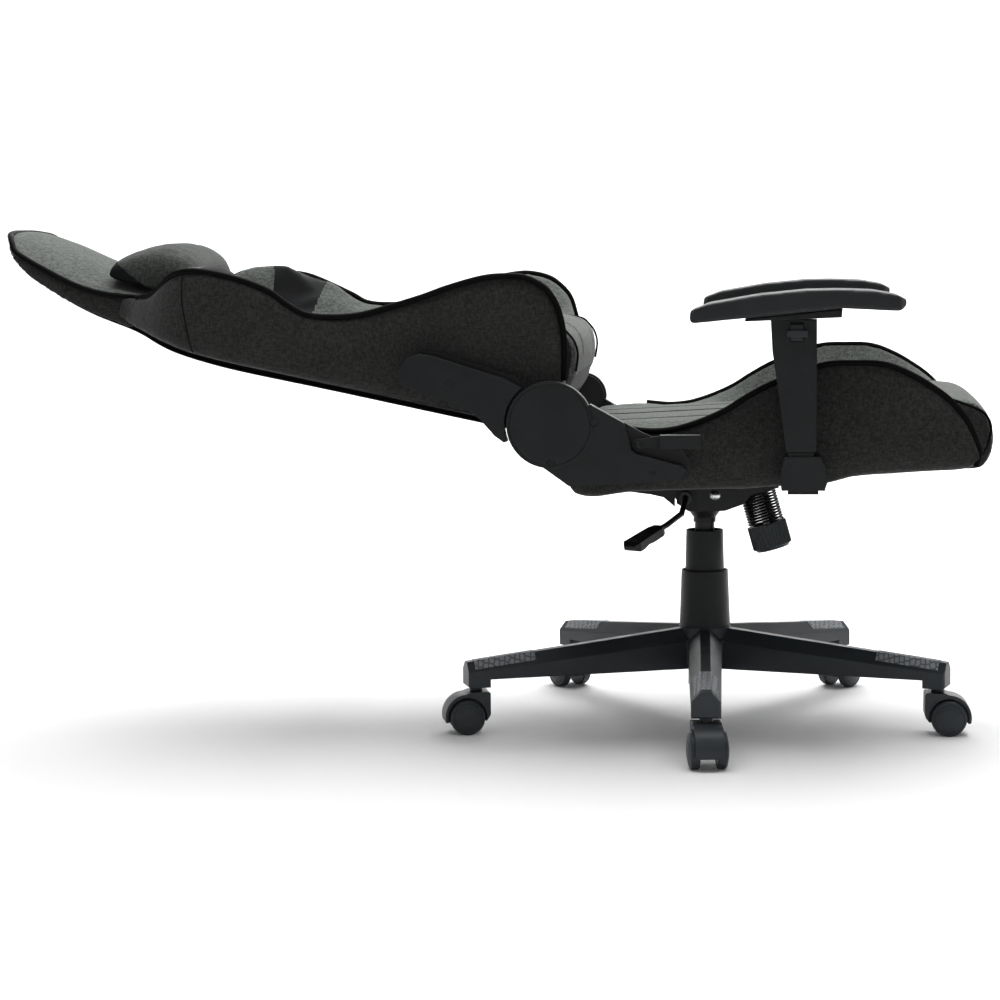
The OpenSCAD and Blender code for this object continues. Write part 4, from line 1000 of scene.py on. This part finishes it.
class CHAIR_OT_studio(bpy.types.Operator):
    """Sets the camera, the pale floor and the soft lights"""

    bl_idname = "chair.studio"
    bl_label = "Studio"

    def execute(self, context):
        scene = context.scene
        yaw, pitch, roll = (math.radians(a) for a in CAMERA_TURN)
        ahead = Vector((-math.sin(yaw) * math.cos(pitch), math.cos(yaw) * math.cos(pitch), -math.sin(pitch)))
        right = ahead.cross(Vector((0, 0, 1))).normalized()
        up = right.cross(ahead)
        across = right * math.cos(roll) + up * math.sin(roll)
        upward = -right * math.sin(roll) + up * math.cos(roll)
        data = bpy.data.cameras.new("studio_camera")
        data.sensor_width = SENSOR_MM
        data.lens = SENSOR_MM * FOCAL_WIDTHS
        data.clip_end = 60
        camera = bpy.data.objects.new("studio_camera", data)
        turn = Matrix((across, upward, -ahead)).transposed().to_4x4()
        camera.matrix_world = Matrix.Translation(Vector(CAMERA_AT)) @ turn
        scene.collection.objects.link(camera)
        scene.camera = camera
        # floor that curves up into a backdrop behind the chair
        profile = [(-9000, 0), (2600, 0), (3000, 30), (3400, 140), (3700, 330), (3900, 600), (4000, 1000), (4020, 6000)]
        verts, faces = [], []
        for y, z in profile:
            verts += [(-12000, y, z), (12000, y, z)]
        for i in range(len(profile) - 1):
            faces.append((2 * i, 2 * i + 1, 2 * i + 3, 2 * i + 2))
        floor = mesh_object("studio_floor", verts, faces)
        floor.data.polygons.foreach_set("use_smooth", [True] * len(floor.data.polygons))
        # Seamless paper: smooth, matt and pale.
        paper, tree, shader = new_material("paper_calendered", {"Roughness": 0.9, "Base Color": (*finish().floor, 1)})
        fibre = add(tree, "ShaderNodeTexNoise", sockets={"Scale": 40})
        bump = add(tree, "ShaderNodeBump", sockets={"Height": fibre.outputs[0], "Strength": 0.02})
        tree.links.new(bump.outputs[0], shader.inputs["Normal"])
        floor.data.materials.append(paper)
        world = bpy.data.worlds.new("studio_air")
        scene.world = world
        world.use_nodes = True
        air = world.node_tree.nodes["Background"]
        air.inputs["Color"].default_value = (1, 1, 1, 1)
        air.inputs["Strength"].default_value = 0.24
        for name, size, power, at, aim in (
            ("overhead_softbox", 3.6, 135, (0.0, 0.3, 3.0), (0, 0.1, 0.4)),
            ("front_softbox", 2.4, 9, (0.8, -3.6, 2.6), (0, 0, 0.4)),
            ("backdrop_softbox", 3.0, 150, (0.0, 2.4, 3.2), (0, 4.2, 0.6)),
        ):
            lamp = bpy.data.lights.new(name, "AREA")
            lamp.size = size
            lamp.energy = power
            obj = bpy.data.objects.new(name, lamp)
            obj.location = at
            obj.rotation_euler = (Vector(aim) - Vector(at)).to_track_quat("-Z", "Y").to_euler()
            scene.collection.objects.link(obj)
        scene.view_settings.view_transform = "Standard"
        return {"FINISHED"}


class CHAIR_PT_parts(bpy.types.Panel):
    """Lists the pieces of the chair"""

    bl_idname = "CHAIR_PT_parts"
    bl_label = "Gaming chair"
    bl_space_type = "VIEW_3D"
    bl_region_type = "UI"
    bl_category = "Chair"

    def draw(self, context):
        for settings in (fabric(), form(), finish()):
            box = self.layout.box()
            for key in settings.bl_rna.properties.keys():
                if key not in ("rna_type", "name"):
                    box.prop(settings, key)
        for made in OPERATORS:
            self.layout.operator(made.bl_idname)


SETTINGS = {"chair_fabric": FabricSettings, "chair_form": FormSettings, "chair_finish": FinishSettings}
OPERATORS = (
    CHAIR_OT_studio,
    CHAIR_OT_hard_parts,
    CHAIR_OT_seat_cushion,
    CHAIR_OT_seat_bolsters,
    CHAIR_OT_back_cushion,
    CHAIR_OT_back_bolsters,
    CHAIR_OT_back_board,
    CHAIR_OT_head_pillow,
    CHAIR_OT_arm_pads,
)


def register():
    for name, settings in SETTINGS.items():
        bpy.utils.register_class(settings)
        setattr(bpy.types.Scene, name, PointerProperty(type=settings))
    for made in OPERATORS:
        bpy.utils.register_class(made)
    bpy.utils.register_class(CHAIR_PT_parts)


def unregister():
    bpy.utils.unregister_class(CHAIR_PT_parts)
    for made in reversed(OPERATORS):
        bpy.utils.unregister_class(made)
    for name, settings in reversed(SETTINGS.items()):
        delattr(bpy.types.Scene, name)
        bpy.utils.unregister_class(settings)


def main():
    register()
    for made in OPERATORS:
        group, name = made.bl_idname.split(".")
        getattr(getattr(bpy.ops, group), name)()


if __name__ == "__main__":
    main()
